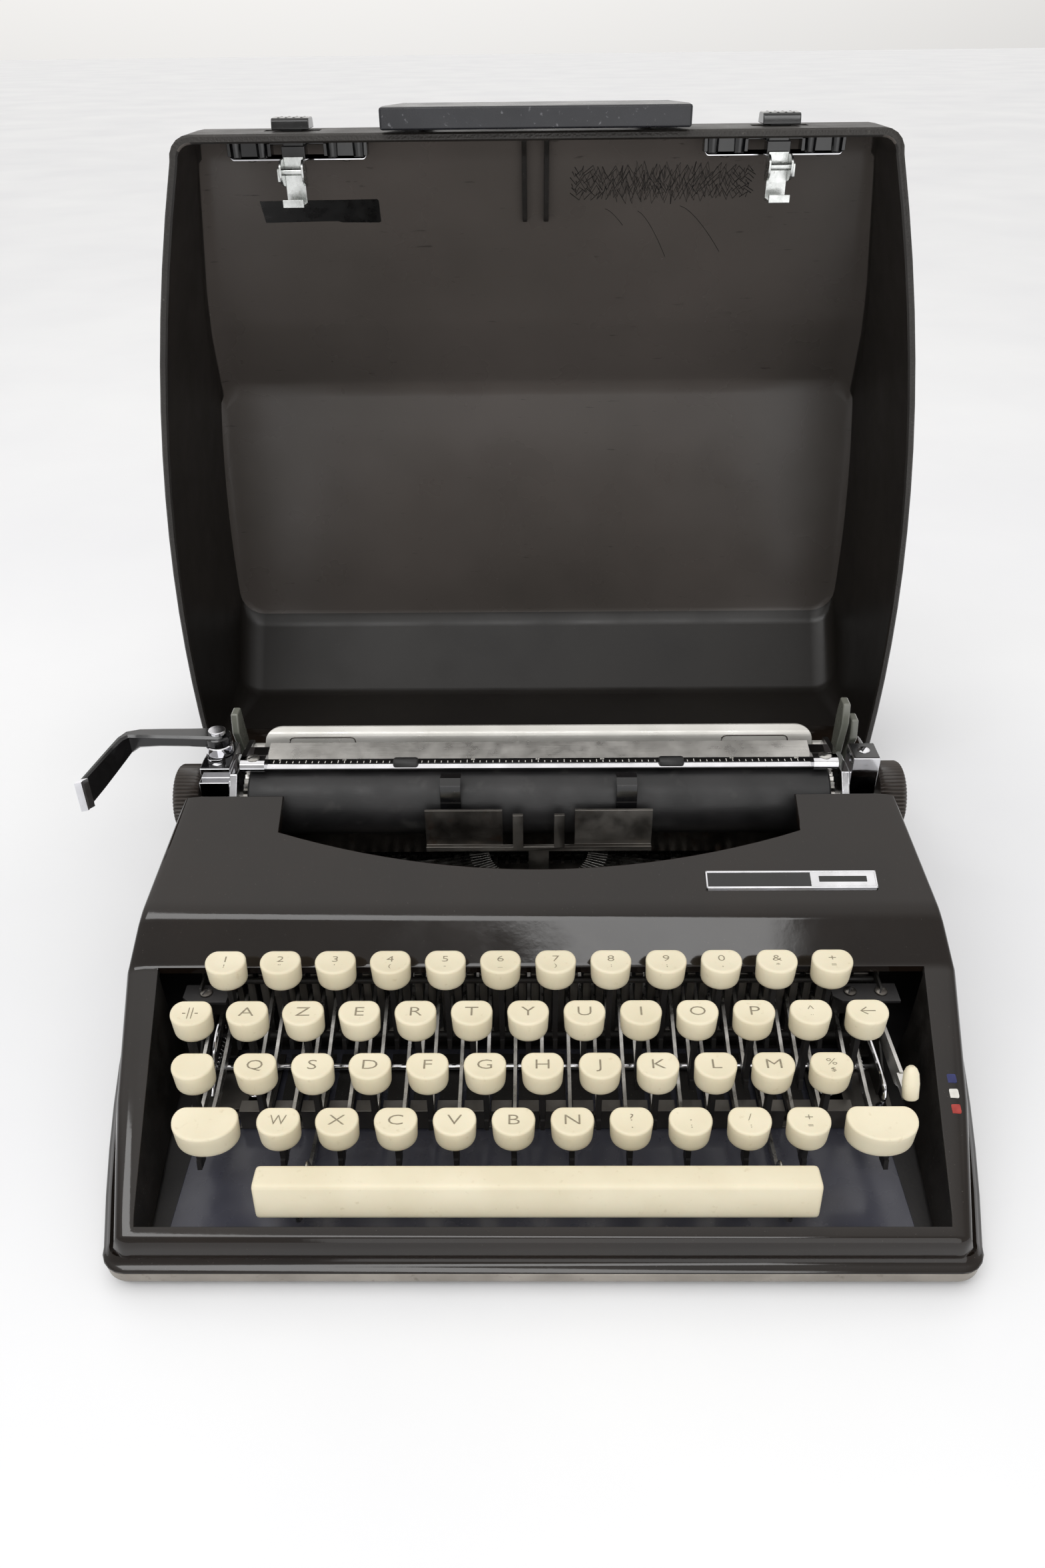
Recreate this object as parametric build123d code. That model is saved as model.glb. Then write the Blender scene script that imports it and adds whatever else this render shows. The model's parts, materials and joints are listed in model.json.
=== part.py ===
from build123d import *
import os
from math import cos, radians, sin, sqrt

# A portable typewriter standing open in its carrying case.
# Lengths are millimetres. While modelling, Y runs back from the front edge of the base and Z up from
# the table; save() then moves everything to the part's own frame, whose origin is the middle of the
# flat underside of the base pan. X is 0 in the middle of the keyboard, to the typist's right.

# ---- driving dimensions: the case
CASE_DEPTH = 284.0
CASE_HALF_WIDTH = 172.0
CASE_SIDE_RADIUS = 772.0
CASE_WIDEST_Y = 225.0
CORNER_RADIUS = 9.0
EDGE_LIFT = 3.0
PAN_INSET = 7.0
RIM_Z = 9.0
LID_WALL = 3.2
LID_GAP = 0.1
LID_TOP_Z = 114.0
HINGE_Y = CASE_DEPTH + 3.0
HINGE_Z = 8.0
SHELL_INSET = 3.8
SHELL_WALL = 2.5

# ---- driving dimensions: the keyboard
KEY_PITCH = 19.0
CAP_WIDTH = 14.1
CAP_DEPTH = 9.8
CAP_HEIGHT = 8.4
FIRST_KEY_X = -108.5
TOP_ROW_Y, TOP_ROW_Z = 82.3, 62.0
ROW_STEP_Y, ROW_STEP_Z = 15.8, 8.35
LEVER_THICK = 1.2
LEVER_HEIGHT = 4.0
FULCRUM_Y, FULCRUM_Z = 235.0, 22.0
FULCRUM_RADIUS = 2.0
RUNNING = 0.05

# ---- driving dimensions: the carriage
PLATEN_Y, PLATEN_Z = 168.5, 71.0
PLATEN_RADIUS = 14.5
PLATEN_HALF = 114.0
SHAFT_RADIUS = 3.0
KNOB_RADIUS = 14.0
KNOB_INNER_X, KNOB_OUTER_X = 133.6, 143.8
END_PLATE_X, END_PLATE_THICK = 118.0, 3.0
HUB_X, HUB_Y = -127.0, 176.0

os.makedirs("parts", exist_ok=True)
TO_FRAME = Pos(0, -CASE_DEPTH / 2, 0)


def save(name, *shapes):
    solids = [solid for shape in shapes for solid in shape.solids()]
    export_step(TO_FRAME * Compound(label=name, children=solids), f"parts/{name}.step")


def block(x0, x1, y0, y1, z0, z1):
    middle = Pos((x0 + x1) / 2, (y0 + y1) / 2, (z0 + z1) / 2)
    return middle * Box(abs(x1 - x0), abs(y1 - y0), abs(z1 - z0))


def rod_x(x0, x1, y, z, radius):
    return Pos((x0 + x1) / 2, y, z) * Rot(0, 90, 0) * Cylinder(radius, abs(x1 - x0))


def post(x, y, z0, z1, radius):
    return Pos(x, y, (z0 + z1) / 2) * Cylinder(radius, z1 - z0)


def side_plate(points, x0, x1):
    """A flat plate lying across X, from its outline in Y and Z."""
    face = Plane.YZ * make_face(Polyline(*points, close=True))
    return Pos(x0, 0, 0) * extrude(face, x1 - x0)


def rows_y(row):
    return TOP_ROW_Y - ROW_STEP_Y * row


def rows_z(row):
    return TOP_ROW_Z - ROW_STEP_Z * row


# ---- plan of the case: a straight front and back with bowed sides
def case_half_width(y, inset=0.0):
    centre = CASE_HALF_WIDTH - CASE_SIDE_RADIUS
    return centre + sqrt(CASE_SIDE_RADIUS ** 2 - (y - CASE_WIDEST_Y) ** 2) - inset


def case_plan(inset):
    front, back = inset, CASE_DEPTH - inset
    middle = (front + back) / 2
    w_front, w_middle, w_back = (case_half_width(y, inset) for y in (front, middle, back))
    outline = [
        Line((-w_front, front), (w_front, front)),
        ThreePointArc((w_front, front), (w_middle, middle), (w_back, back)),
        Line((w_back, back), (-w_back, back)),
        ThreePointArc((-w_back, back), (-w_middle, middle), (-w_front, front)),
    ]
    sketch = make_face(outline)
    return fillet(sketch.vertices(), max(CORNER_RADIUS - inset, 2.0))


# ---- base tray with its lower pan, hinge knuckles, flush rubber pads and the painted floor plate
TRAY_TOP = 7.0
TRAY_FLOOR = 4.5
TRAY_EDGE = 2.0
HINGE_RADIUS = 2.6
HINGE_PIN = 1.2
HINGE_XS = (-95.0, 95.0)

tray = Pos(0, 0, EDGE_LIFT) * extrude(case_plan(0), TRAY_TOP - EDGE_LIFT)
tray += extrude(case_plan(PAN_INSET), EDGE_LIFT)
tray -= Pos(0, 0, TRAY_FLOOR) * extrude(case_plan(TRAY_EDGE), 10)
for x in HINGE_XS:
    tray += block(x - 6, x + 6, CASE_DEPTH - 1.0, HINGE_Y - 1.2, EDGE_LIFT + 0.5, TRAY_TOP - 0.6)
    tray += rod_x(x - 6, x + 6, HINGE_Y, HINGE_Z, HINGE_RADIUS)
    tray += rod_x(x - 17.5, x + 17.5, HINGE_Y, HINGE_Z, HINGE_PIN)
    tray += block(x - 6, x + 6, HINGE_Y - 2.2, HINGE_Y, 5.0, HINGE_Z)

PAD_RADIUS, PAD_THICK = 8.0, 2.0
pads = [post(x, y, 0, PAD_THICK, PAD_RADIUS) for x in (-112, 112) for y in (28, 256)]
save("base_tray", tray - pads)
save("rubber_pads", *pads)
save("floor_plate", block(-121, 121, 10.5, 95, TRAY_FLOOR, TRAY_FLOOR + 0.7))


# ---- body shell: a lofted cover, hollow below, with the keyboard well and the type opening
WELL_FRONT_Y, WELL_BACK_Y = 8.5, 92.0
WELL_FRONT_HALF, WELL_BACK_HALF = 128.0, 137.0
CREST_Y, CREST_Z, CREST_HALF = 107.0, 65.0, 143.8
COVER_BACK_Y, COVER_BACK_Z, COVER_BACK_HALF = 153.0, 84.0, 135.5
DECK_Z = 50.0

# y, height of the top and half width at the top, from the front lip to the back of the top cover
COVER_STATIONS = [
    (3.8, 16.0, 133.0),
    (6.5, 18.4, 133.4),
    (48.0, 33.5, 141.2),
    (WELL_BACK_Y, 50.0, 147.4),
    (CREST_Y - 2.0, CREST_Z - 2.5, CREST_HALF + 0.4),
    (CREST_Y + 1.5, CREST_Z + 0.4, CREST_HALF),
    (COVER_BACK_Y, COVER_BACK_Z, COVER_BACK_HALF),
]
# the low rear deck that the carriage passes over
DECK_STATIONS = [
    (COVER_BACK_Y - 4.0, DECK_Z, 152.0),
    (205.0, DECK_Z, 154.0),
    (255.0, DECK_Z - 2.0, 152.0),
    (272.0, DECK_Z - 8.0, 146.0),
    (279.8, DECK_Z - 20.0, 138.0),
]


def shell_section(y, top, half, wall):
    foot = case_half_width(y, SHELL_INSET)
    if y > 260:
        foot -= (y - 260) ** 2 / 28
    foot, half, top = foot - wall, half - wall, top - wall
    soft = 3.0
    points = [
        (-foot, TRAY_TOP), (foot, TRAY_TOP), (half + 0.35, top - soft), (half - soft, top),
        (-half + soft, top), (-half - 0.35, top - soft),
    ]
    # the plane's own Y axis points up and its X axis to the right
    plane = Plane(origin=(0, y, 0), x_dir=(1, 0, 0), z_dir=(0, -1, 0))
    return plane * make_face(Polyline(*points, close=True))


def shell_loft(stations, wall, front_pull=0.0, back_pull=0.0):
    last = len(stations) - 1
    sections = []
    for i, (y, top, half) in enumerate(stations):
        shift = front_pull if i == 0 else (-back_pull if i == last else 0.0)
        sections.append(shell_section(y + shift, top, half, wall))
    return loft(sections, ruled=True)


outer = shell_loft(COVER_STATIONS, 0.0) + shell_loft(DECK_STATIONS, 0.0)
inner = shell_loft(COVER_STATIONS, SHELL_WALL, SHELL_WALL, -3.0)
inner += shell_loft(DECK_STATIONS, SHELL_WALL, 0.0, SHELL_WALL)
shell = outer - inner
seat = case_plan(0.0) - case_plan(SHELL_INSET + SHELL_WALL)
shell += Pos(0, 0, TRAY_TOP) * extrude(seat, RIM_Z - TRAY_TOP)

WELL_PLAN = [
    (-WELL_FRONT_HALF, WELL_FRONT_Y), (WELL_FRONT_HALF, WELL_FRONT_Y),
    (WELL_BACK_HALF, WELL_BACK_Y), (-WELL_BACK_HALF, WELL_BACK_Y),
]


def well_prism(grow, z0, z1):
    points = [(x + (grow if x > 0 else -grow), y + (grow if y > 50 else -grow)) for x, y in WELL_PLAN]
    return Pos(0, 0, z0) * extrude(make_face(Polyline(*points, close=True)), z1 - z0)


liner = well_prism(1.8, 7.5, 90) - block(-200, 200, WELL_BACK_Y - 1.0, 200, 0, 100)
shell += liner & outer
shell -= well_prism(0.0, 0, 90)
# the front corners of the cover are cut back to clear the round corners inside the lid
for side in (-1, 1):
    corner = make_face(Polyline((side * 131, 3.0), (side * 137, 3.0), (side * 137, 7.0), close=True))
    shell -= Pos(0, 0, RIM_Z) * extrude(corner, 12)

# the type opening: a wide smile cut through the top cover, open at the back
smile = make_face([
    ThreePointArc((-98, 137.0), (0, 122.0), (98, 137.0)),
    Line((98, 137.0), (98, COVER_BACK_Y + 1)),
    Line((98, COVER_BACK_Y + 1), (-98, COVER_BACK_Y + 1)),
    Line((-98, COVER_BACK_Y + 1), (-98, 137.0)),
])
shell -= Pos(0, 0, 55) * extrude(smile, 40)
# the step behind the top cover is open, and so is the deck under the carriage
step_top = COVER_BACK_Z - SHELL_WALL - 1.2
shell -= block(-133, 133, COVER_BACK_Y - 6, COVER_BACK_Y + 4, DECK_Z + 1, step_top)
shell -= block(-128, 128, COVER_BACK_Y - 8, 212, 44, DECK_Z + 10)
save("body_shell", shell)

# ---- badge plate on the right of the top cover
cover_slope = (COVER_BACK_Z - CREST_Z - 0.4) / (COVER_BACK_Y - CREST_Y - 1.5)
BADGE_Y = 116.5
badge_z = CREST_Z + 0.4 + cover_slope * (BADGE_Y - CREST_Y - 1.5)
cover_tilt = Plane(origin=(0, 0, 0), x_dir=(1, 0, 0), z_dir=(0, -cover_slope, 1))
badge = Pos(91, BADGE_Y, badge_z) * cover_tilt.location * Pos(0, 0, 0.75) * Box(62, 6.4, 1.5)
badge -= shell
save("badge", badge)

# ---- frame of the machine: side plates, rear bar, rail channel, fulcrum rods and key comb
SIDE_X = 122.0
SIDE_THICK = 2.0
RAIL_FRONT, RAIL_BACK = 178.0, 206.0
RAIL_FLOOR, RAIL_TOP = 36.0, 47.0
SPACE_PIVOT_Y, SPACE_PIVOT_Z = 62.0, 7.2
SPACE_ROD = 1.2
COMB_Y = 98.0
SEGMENT_Y, SEGMENT_Z = 158.0, 45.5
SPOOL_X, SPOOL_Y, SPOOL_Z = 103.0, 128.0, 50.0
SPOOL_POST = 2.5

side_outline = [
    (56, TRAY_FLOOR), (252, TRAY_FLOOR), (252, 30), (212, 46), (100, 46), (92, 15), (56, 11),
]
frame = side_plate(side_outline, -SIDE_X - SIDE_THICK, -SIDE_X)
frame += side_plate(side_outline, SIDE_X, SIDE_X + SIDE_THICK)
frame += block(-SIDE_X, SIDE_X, 247, 250, TRAY_FLOOR, 28)
channel = block(-SIDE_X, SIDE_X, RAIL_FRONT, RAIL_BACK, RAIL_FLOOR, RAIL_TOP)
channel -= block(-SIDE_X, SIDE_X, RAIL_FRONT + 3, RAIL_BACK - 3, RAIL_FLOOR + 3, RAIL_TOP + 1)
frame += channel
frame += rod_x(-SIDE_X - SIDE_THICK, SIDE_X + SIDE_THICK, FULCRUM_Y, FULCRUM_Z, FULCRUM_RADIUS)
frame += rod_x(-SIDE_X - SIDE_THICK, SIDE_X + SIDE_THICK, SPACE_PIVOT_Y, SPACE_PIVOT_Z, SPACE_ROD)
# cross plate that carries the type segment
frame += block(-SIDE_X, SIDE_X, 146, 158, 42.5, SEGMENT_Z)
# brackets and posts for the ribbon spools
for side in (-1, 1):
    frame += block(side * 88, side * SIDE_X, SPOOL_Y - 6, SPOOL_Y + 6, 43.5, 45.5)
    frame += post(side * SPOOL_X, SPOOL_Y, 45, SPOOL_Z + 11.5, SPOOL_POST)

SHIFT_LEFT_X, SHIFT_RIGHT_X = -112.5, 113.0
LOCK_X = -116.6
MARGIN_X = -120.0
BACKSPACE_X = 108.0
SELECTOR_X = 120.5
SELECTOR_PIVOT_Y, SELECTOR_PIVOT_Z = 112.0, 26.0
PIVOT_PIN = 1.5
comb = block(-SIDE_X, SIDE_X, COMB_Y - 1, COMB_Y + 1, TRAY_FLOOR, 42)
lever_xs = [FIRST_KEY_X + KEY_PITCH / 4 * i for i in range(45)]
for x in lever_xs + [SHIFT_LEFT_X, LOCK_X, MARGIN_X, BACKSPACE_X, SHIFT_RIGHT_X, SELECTOR_X]:
    comb -= block(x - 0.95, x + 0.95, COMB_Y - 3, COMB_Y + 3, 13, 43)
frame += comb
frame += rod_x(SELECTOR_X - 1.5, SIDE_X, SELECTOR_PIVOT_Y, SELECTOR_PIVOT_Z, PIVOT_PIN)
save("mech_frame", frame)


# ---- keys: a cap on a stem on a long lever that turns on the rear fulcrum rod
# height of the upper edge of every lever along the machine
LEVER_TOP = [(44.0, 20.0), (60.0, 21.5), (76.0, 25.0), (94.0, 30.0), (130.0, 39.0), (200.0, 30.5)]


def lever_top_at(y):
    if y <= LEVER_TOP[0][0]:
        return LEVER_TOP[0][1]
    for (y0, z0), (y1, z1) in zip(LEVER_TOP, LEVER_TOP[1:]):
        if y <= y1:
            return z0 + (z1 - z0) * (y - y0) / (y1 - y0)
    return LEVER_TOP[-1][1]


def key_lever(x, y_front):
    top = [(y_front, lever_top_at(y_front))]
    top += [(y, z) for y, z in LEVER_TOP if y > y_front + 1]
    top += [(FULCRUM_Y, FULCRUM_Z + 4.5)]
    bottom = [(y, z - LEVER_HEIGHT) for y, z in reversed(top[:-1])]
    bottom = [(FULCRUM_Y, FULCRUM_Z - 4.5)] + bottom
    lever = side_plate(top + bottom, x - LEVER_THICK / 2, x + LEVER_THICK / 2)
    lever += rod_x(x - LEVER_THICK / 2, x + LEVER_THICK / 2, FULCRUM_Y, FULCRUM_Z, 4.5)
    return lever - rod_x(x - 2, x + 2, FULCRUM_Y, FULCRUM_Z, FULCRUM_RADIUS + RUNNING)


def cap_outline(width, depth):
    """Flat at the back, rounded towards the typist."""
    half, back, shoulder = width / 2, depth / 2, depth / 2 - 3.6
    outline = [
        Line((half, shoulder), (half, back)),
        Line((half, back), (-half, back)),
        Line((-half, back), (-half, shoulder)),
        ThreePointArc((-half, shoulder), (0, -depth / 2), (half, shoulder)),
    ]
    sketch = make_face(outline)
    return fillet(sketch.vertices().sort_by(Axis.Y)[-2:], 3.0)


def key_cap(width=CAP_WIDTH, depth=CAP_DEPTH, dish=30.0):
    """The middle of the dished top is at the origin, the cap below it."""
    cap = Pos(0, 0, -CAP_HEIGHT) * extrude(cap_outline(width, depth), CAP_HEIGHT + 2.5, taper=1)
    lean = radians(4)
    scoop = Pos(0, -dish * sin(lean), dish * cos(lean)) * Rot(0, 90, 0) * Cylinder(dish, 60)
    top_trim = Pos(0, 0, 6.5) * Box(60, 60, 10)
    cap -= scoop + top_trim
    return cap + Pos(0, 0, -CAP_HEIGHT - 1.0) * Cylinder(3.2, 2.0)


def key_parts(x, row, lever_x=None, width=CAP_WIDTH):
    lever_x = x if lever_x is None else lever_x
    y, z = rows_y(row), rows_z(row)
    cap = Pos(x, y, z) * key_cap(width)
    under = z - CAP_HEIGHT - (2.0 if abs(lever_x - x) < 3 else 0.0)
    stem = block(lever_x - 1.3, lever_x + 1.3, y - 2.2, y + 2.2, lever_top_at(y), under)
    return [cap, stem, key_lever(lever_x, y - 3.5)]


ROW_SHIFT = (0.0, 0.5, 0.75, 1.25)
LETTER_ROWS = {1: "azertyuiop", 2: "qsdfghjklm", 3: "wxcvbn"}


def key_x(row, column):
    return FIRST_KEY_X + KEY_PITCH * (ROW_SHIFT[row] + column)


for row, letters in LETTER_ROWS.items():
    for column, letter in enumerate(letters):
        save(f"type_key_{letter}", *key_parts(key_x(row, column), row))

number_keys = [part for column in range(12) for part in key_parts(key_x(0, column), 0)]
save("number_row_keys", *number_keys)

SIGN_KEYS = [(1, 10), (2, 10), (3, 6), (3, 7), (3, 8), (3, 9)]
sign_keys = [part for row, column in SIGN_KEYS for part in key_parts(key_x(row, column), row)]
save("sign_keys", *sign_keys)

# ---- shift keys with the rail that joins them, shift lock, backspace and margin release
SHIFT_RAIL_Y = 200.0
rail_y0, rail_y1 = SHIFT_RAIL_Y - 2, SHIFT_RAIL_Y + 2
shift_rail = block(SHIFT_LEFT_X - 1.5, SHIFT_RIGHT_X + 1.5, rail_y0, rail_y1, 10, 16)
shift_left = key_parts(-108.5, 3, SHIFT_LEFT_X, 21.6)
shift_right = key_parts(109.7, 3, SHIFT_RIGHT_X, 23.0)
shift_posts = []
for x, (cap, stem, lever) in ((SHIFT_LEFT_X, shift_left), (SHIFT_RIGHT_X, shift_right)):
    half = LEVER_THICK / 2
    shift_posts.append(block(x - half, x + half, rail_y0, rail_y1, 16, 28) - lever)
save("shift_keys", shift_rail, *shift_posts, *shift_left, *shift_right)
save("shift_lock", *key_parts(-115.0, 2, LOCK_X))
save("margin_release_key", *key_parts(-118.0, 1, MARGIN_X))
save("backspace_key", *key_parts(110.0, 1, BACKSPACE_X))

# ---- space bar on two low arms that turn on the front rod
bar_outline = [(12.0, 17.5), (21.4, 17.5), (22.3, 31.6), (13.4, 32.0)]
space = side_plate(bar_outline, -90, 87.2)
SPACE_ARM_XS = (FIRST_KEY_X + KEY_PITCH / 4 * 6.5, FIRST_KEY_X + KEY_PITCH / 4 * 39.5)
for x in SPACE_ARM_XS:
    arm = [(14, 19), (18, 19), (20, 12.5), (SPACE_PIVOT_Y, 9.9), (SPACE_PIVOT_Y, 6.9)]
    arm += [(18, 9.5), (15, 12)]
    space += side_plate(arm, x - 0.6, x + 0.6)
    space += rod_x(x - 0.6, x + 0.6, SPACE_PIVOT_Y, SPACE_PIVOT_Z + 0.4, 2.3)
space -= rod_x(-130, 130, SPACE_PIVOT_Y, SPACE_PIVOT_Z, SPACE_ROD + RUNNING)
save("space_bar", space)

# ---- ribbon selector: a small cream tip on its own lever beside the right shift key
selector_outline = [(50, 34), (56, 30), (104, 30), (112, 22), (116, 26), (112, 31), (100, 36), (54, 38)]
selector = side_plate(selector_outline, SELECTOR_X - LEVER_THICK / 2, SELECTOR_X + LEVER_THICK / 2)
tip = Pos(120.9, 46.2, 41.5) * Rot(X=-25) * Box(5.6, 5.5, 11.6)
selector_arm = block(SELECTOR_X - 1.5, SELECTOR_X + 1.5, 45.0, 54.0, 34.5, 37.5)
pivot_at = (SELECTOR_PIVOT_Y, SELECTOR_PIVOT_Z)
pivot_hole = rod_x(SELECTOR_X - 3, SELECTOR_X + 4, *pivot_at, PIVOT_PIN + RUNNING)
save("ribbon_selector", selector + selector_arm + tip - pivot_hole)


# ---- type basket: slotted segment, the fan of typebars at rest, ribbon spools and ribbon guide
TYPEBARS = 44
FAN_HALF_DEG = 80.0
PIVOT_RING, HEAD_RING = 24.0, 54.0
BAR_Z = SEGMENT_Z + 4.5

ring = Circle(PIVOT_RING + 4) - Circle(PIVOT_RING - 4)
ring -= Pos(0, 25) * Rectangle(100, 50)
segment = Pos(0, SEGMENT_Y, SEGMENT_Z) * extrude(ring, 7.5)
bars = []
for i in range(TYPEBARS):
    turn = Rot(Z=-FAN_HALF_DEG + 2 * FAN_HALF_DEG * i / (TYPEBARS - 1))
    place = Pos(0, SEGMENT_Y, 0) * turn
    segment -= place * block(-0.5, 0.5, -PIVOT_RING - 5, -PIVOT_RING + 5, BAR_Z, BAR_Z + 6)
    bar = block(-0.4, 0.4, -HEAD_RING, -PIVOT_RING + 3, BAR_Z, BAR_Z + 3)
    head = block(-1.2, 1.2, -HEAD_RING - 1.5, -HEAD_RING + 1.0, BAR_Z - 1.5, BAR_Z + 4.5)
    bars.append(place * (bar + head))
save("type_segment", segment)
save("typebars", *bars)

for side, name in ((-1, "ribbon_spool_left"), (1, "ribbon_spool_right")):
    # the left spool is fuller than the right one
    wound, hole_at = (12.5, 14.5) if side < 0 else (8.0, 13.0)
    spool = post(0, 0, 0, 1.2, 17) + post(0, 0, 1.2, 9.8, wound) + post(0, 0, 9.8, 11.0, 17)
    spool -= post(0, 0, -1, 12, SPOOL_POST + RUNNING)
    for i in range(3):
        spool -= Rot(Z=120 * i) * post(hole_at, 0, 9.7, 12, 1.6)
    save(name, Pos(side * SPOOL_X, SPOOL_Y, SPOOL_Z) * spool)

GUIDE_Y = 148.0
guide = block(-4, 4, GUIDE_Y - 1, GUIDE_Y + 1, SEGMENT_Z, 61)
guide += block(-44, 44, GUIDE_Y - 1, GUIDE_Y + 1, 60, 62)
for side in (-1, 1):
    guide += block(side * 6, side * 10, GUIDE_Y - 1, GUIDE_Y + 0.6, 61, 77)
    guide += block(side * 14, side * 44, GUIDE_Y + 1, GUIDE_Y + 2.2, 60, 78)
save("ribbon_guide", guide)

# ---- carriage: ball cage in the rail channel, frame, platen, knobs, paper table, bail and levers
SHOE_HALF = 16.0
BALL_RADIUS = 2.2
BALL_Z = RAIL_FLOOR + 3 + 0.3 + BALL_RADIUS
BED_Z = 52.0
cage = block(-SHOE_HALF, SHOE_HALF, 185, 199, BALL_Z - 0.5, BALL_Z + 0.5)
for x in (-11, 11):
    for y in (189, 195):
        cage += Pos(x, y, BALL_Z) * Sphere(BALL_RADIUS)
save("ball_cage", cage)

BAIL_PIVOT_Y, BAIL_PIVOT_Z = 186.0, 68.0
PAPER_PIVOT_Y, PAPER_PIVOT_Z = 192.0, 66.0
RELEASE_Y, RELEASE_Z = 200.0, 60.0
end_outline = [
    (157, 57), (157, 79), (163, 86), (178, 86), (197, 74), (206, 62), (206, BED_Z), (176, BED_Z),
    (174, 57),
]
carriage = block(-END_PLATE_X, END_PLATE_X, 176, 206, BED_Z, BED_Z + 2.5)
carriage += block(-SHOE_HALF, SHOE_HALF, 184, 200, BALL_Z + BALL_RADIUS + 0.3, BED_Z)
for side in (-1, 1):
    near, far = side * END_PLATE_X, side * (END_PLATE_X + END_PLATE_THICK)
    carriage += side_plate(end_outline, min(near, far), max(near, far))
    carriage += rod_x(side * 114.4, near, BAIL_PIVOT_Y, BAIL_PIVOT_Z, PIVOT_PIN)
# left block under the return lever and its post; right block beside the knob
left_block = block(-132.8, -121, 160, 184, 75.5, 88) - block(-140, -110, 150, 164, 84, 90)
carriage += left_block
carriage += post(HUB_X, HUB_Y, 87, 98, 2.0) + post(HUB_X, HUB_Y, 97, 98.8, 3.4)
carriage += block(121, 131.4, 160, 171, 76, 94)
carriage += rod_x(121, 125.4, PAPER_PIVOT_Y, PAPER_PIVOT_Z, PIVOT_PIN)
carriage -= rod_x(-150, 150, PLATEN_Y, PLATEN_Z, SHAFT_RADIUS + RUNNING)
carriage -= rod_x(-150, 150, RELEASE_Y, RELEASE_Z, PIVOT_PIN + RUNNING)
save("carriage_frame", carriage)

platen = rod_x(-PLATEN_HALF, PLATEN_HALF, PLATEN_Y, PLATEN_Z, PLATEN_RADIUS)
platen -= rod_x(-150, 150, PLATEN_Y, PLATEN_Z, SHAFT_RADIUS)
save("platen", platen)

KNOB_RIBS = 36
knobs = rod_x(-KNOB_OUTER_X, KNOB_OUTER_X, PLATEN_Y, PLATEN_Z, SHAFT_RADIUS)
for side in (-1, 1):
    knobs += rod_x(side * KNOB_INNER_X, side * KNOB_OUTER_X, PLATEN_Y, PLATEN_Z, KNOB_RADIUS)
groove = block(-150, 150, -0.5, 0.5, KNOB_RADIUS - 0.8, KNOB_RADIUS + 1)
groove -= block(-KNOB_INNER_X + 1, KNOB_INNER_X - 1, -2, 2, 0, KNOB_RADIUS + 2)
grooves = [Pos(0, PLATEN_Y, PLATEN_Z) * Rot(X=360 / KNOB_RIBS * i) * groove for i in range(KNOB_RIBS)]
save("platen_knobs", knobs - grooves)

# return lever: a hub on the post, then the folding arm with its broad blade
hub = post(HUB_X, HUB_Y, 88.3, 92.7, 5.4) + block(HUB_X - 3, HUB_X + 3, HUB_Y - 9.5, HUB_Y, 88.3, 90.5)
save("lever_hub", hub - post(HUB_X, HUB_Y, 80, 99, 2.0 + RUNNING))

BEND = (-162.0, 177.0)
TIP = (-172.5, 146.0)
blade_length = sqrt((TIP[0] - BEND[0]) ** 2 + (TIP[1] - BEND[1]) ** 2)
blade_outline = [(0, 93), (0, 96.5), (blade_length, 93), (blade_length + 3, 83.5), (6, 88.5)]
blade_face = make_face(Polyline(*blade_outline, close=True))
blade_plane = Plane(
    origin=(*BEND, 0),
    x_dir=((TIP[0] - BEND[0]) / blade_length, (TIP[1] - BEND[1]) / blade_length, 0),
    z_dir=((TIP[1] - BEND[1]) / blade_length, -(TIP[0] - BEND[0]) / blade_length, 0),
)
arm_plan = make_face(Polyline(
    (HUB_X, HUB_Y - 4), (HUB_X, HUB_Y + 4), (BEND[0] + 4, BEND[1] + 4.5), (BEND[0] - 3, BEND[1] + 3),
    (BEND[0] - 2, BEND[1] - 3), (BEND[0] + 8, BEND[1] - 4), close=True))
lever = Pos(0, 0, 93) * extrude(arm_plan, 3.5) + post(HUB_X, HUB_Y, 93, 96.5, 5.2)
lever += extrude(blade_plane * blade_face, 1.4, both=True)
save("return_lever", lever - post(HUB_X, HUB_Y, 80, 99, 2.0 + RUNNING))

# paper bail: scale bar over the platen, screwed end blocks and the arms behind
bail_arm = [
    (183, 65), (189, 65), (189, 76), (184, 89), (172, 91), (166, 91), (166, 88), (180, 86), (183, 78),
]
bail = block(-116.5, 116.5, 164, 170, 87, 88.6)
for side in (-1, 1):
    bail += block(side * 107, side * 116.5, 162.5, 171.5, 86.6, 91)
    bail += side_plate(bail_arm, min(side * 114.8, side * 116.8), max(side * 114.8, side * 116.8))
    bail -= block(side * 111.2, side * 112.4, 163, 171, 90.2, 92)
save("paper_bail", bail - rod_x(-120, 120, BAIL_PIVOT_Y, BAIL_PIVOT_Z, PIVOT_PIN + RUNNING))

table_outline = [
    (184, 54.5), (184, 57), (190.5, 88), (193.5, 89.5), (193.5, 90.7), (189.7, 89), (182.8, 57),
    (178, 55.8), (178, 54.5),
]
paper_table = side_plate(table_outline, -112, 112)
for side in (-1, 1):
    paper_table -= block(side * 82, side * 102, 180, 200, 76, 84)
save("paper_table", paper_table)


def ear(x0, x1, foot_y, foot_z, top_y, top_z):
    outline = [
        (foot_y - 3, foot_z - 3), (foot_y + 3, foot_z - 3), (foot_y + 3, foot_z + 6),
        (top_y + 5, top_z - 8), (top_y + 3, top_z), (top_y - 3, top_z), (top_y - 5, top_z - 8),
        (foot_y - 3, foot_z + 6),
    ]
    return side_plate(outline, x0, x1)


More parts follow.
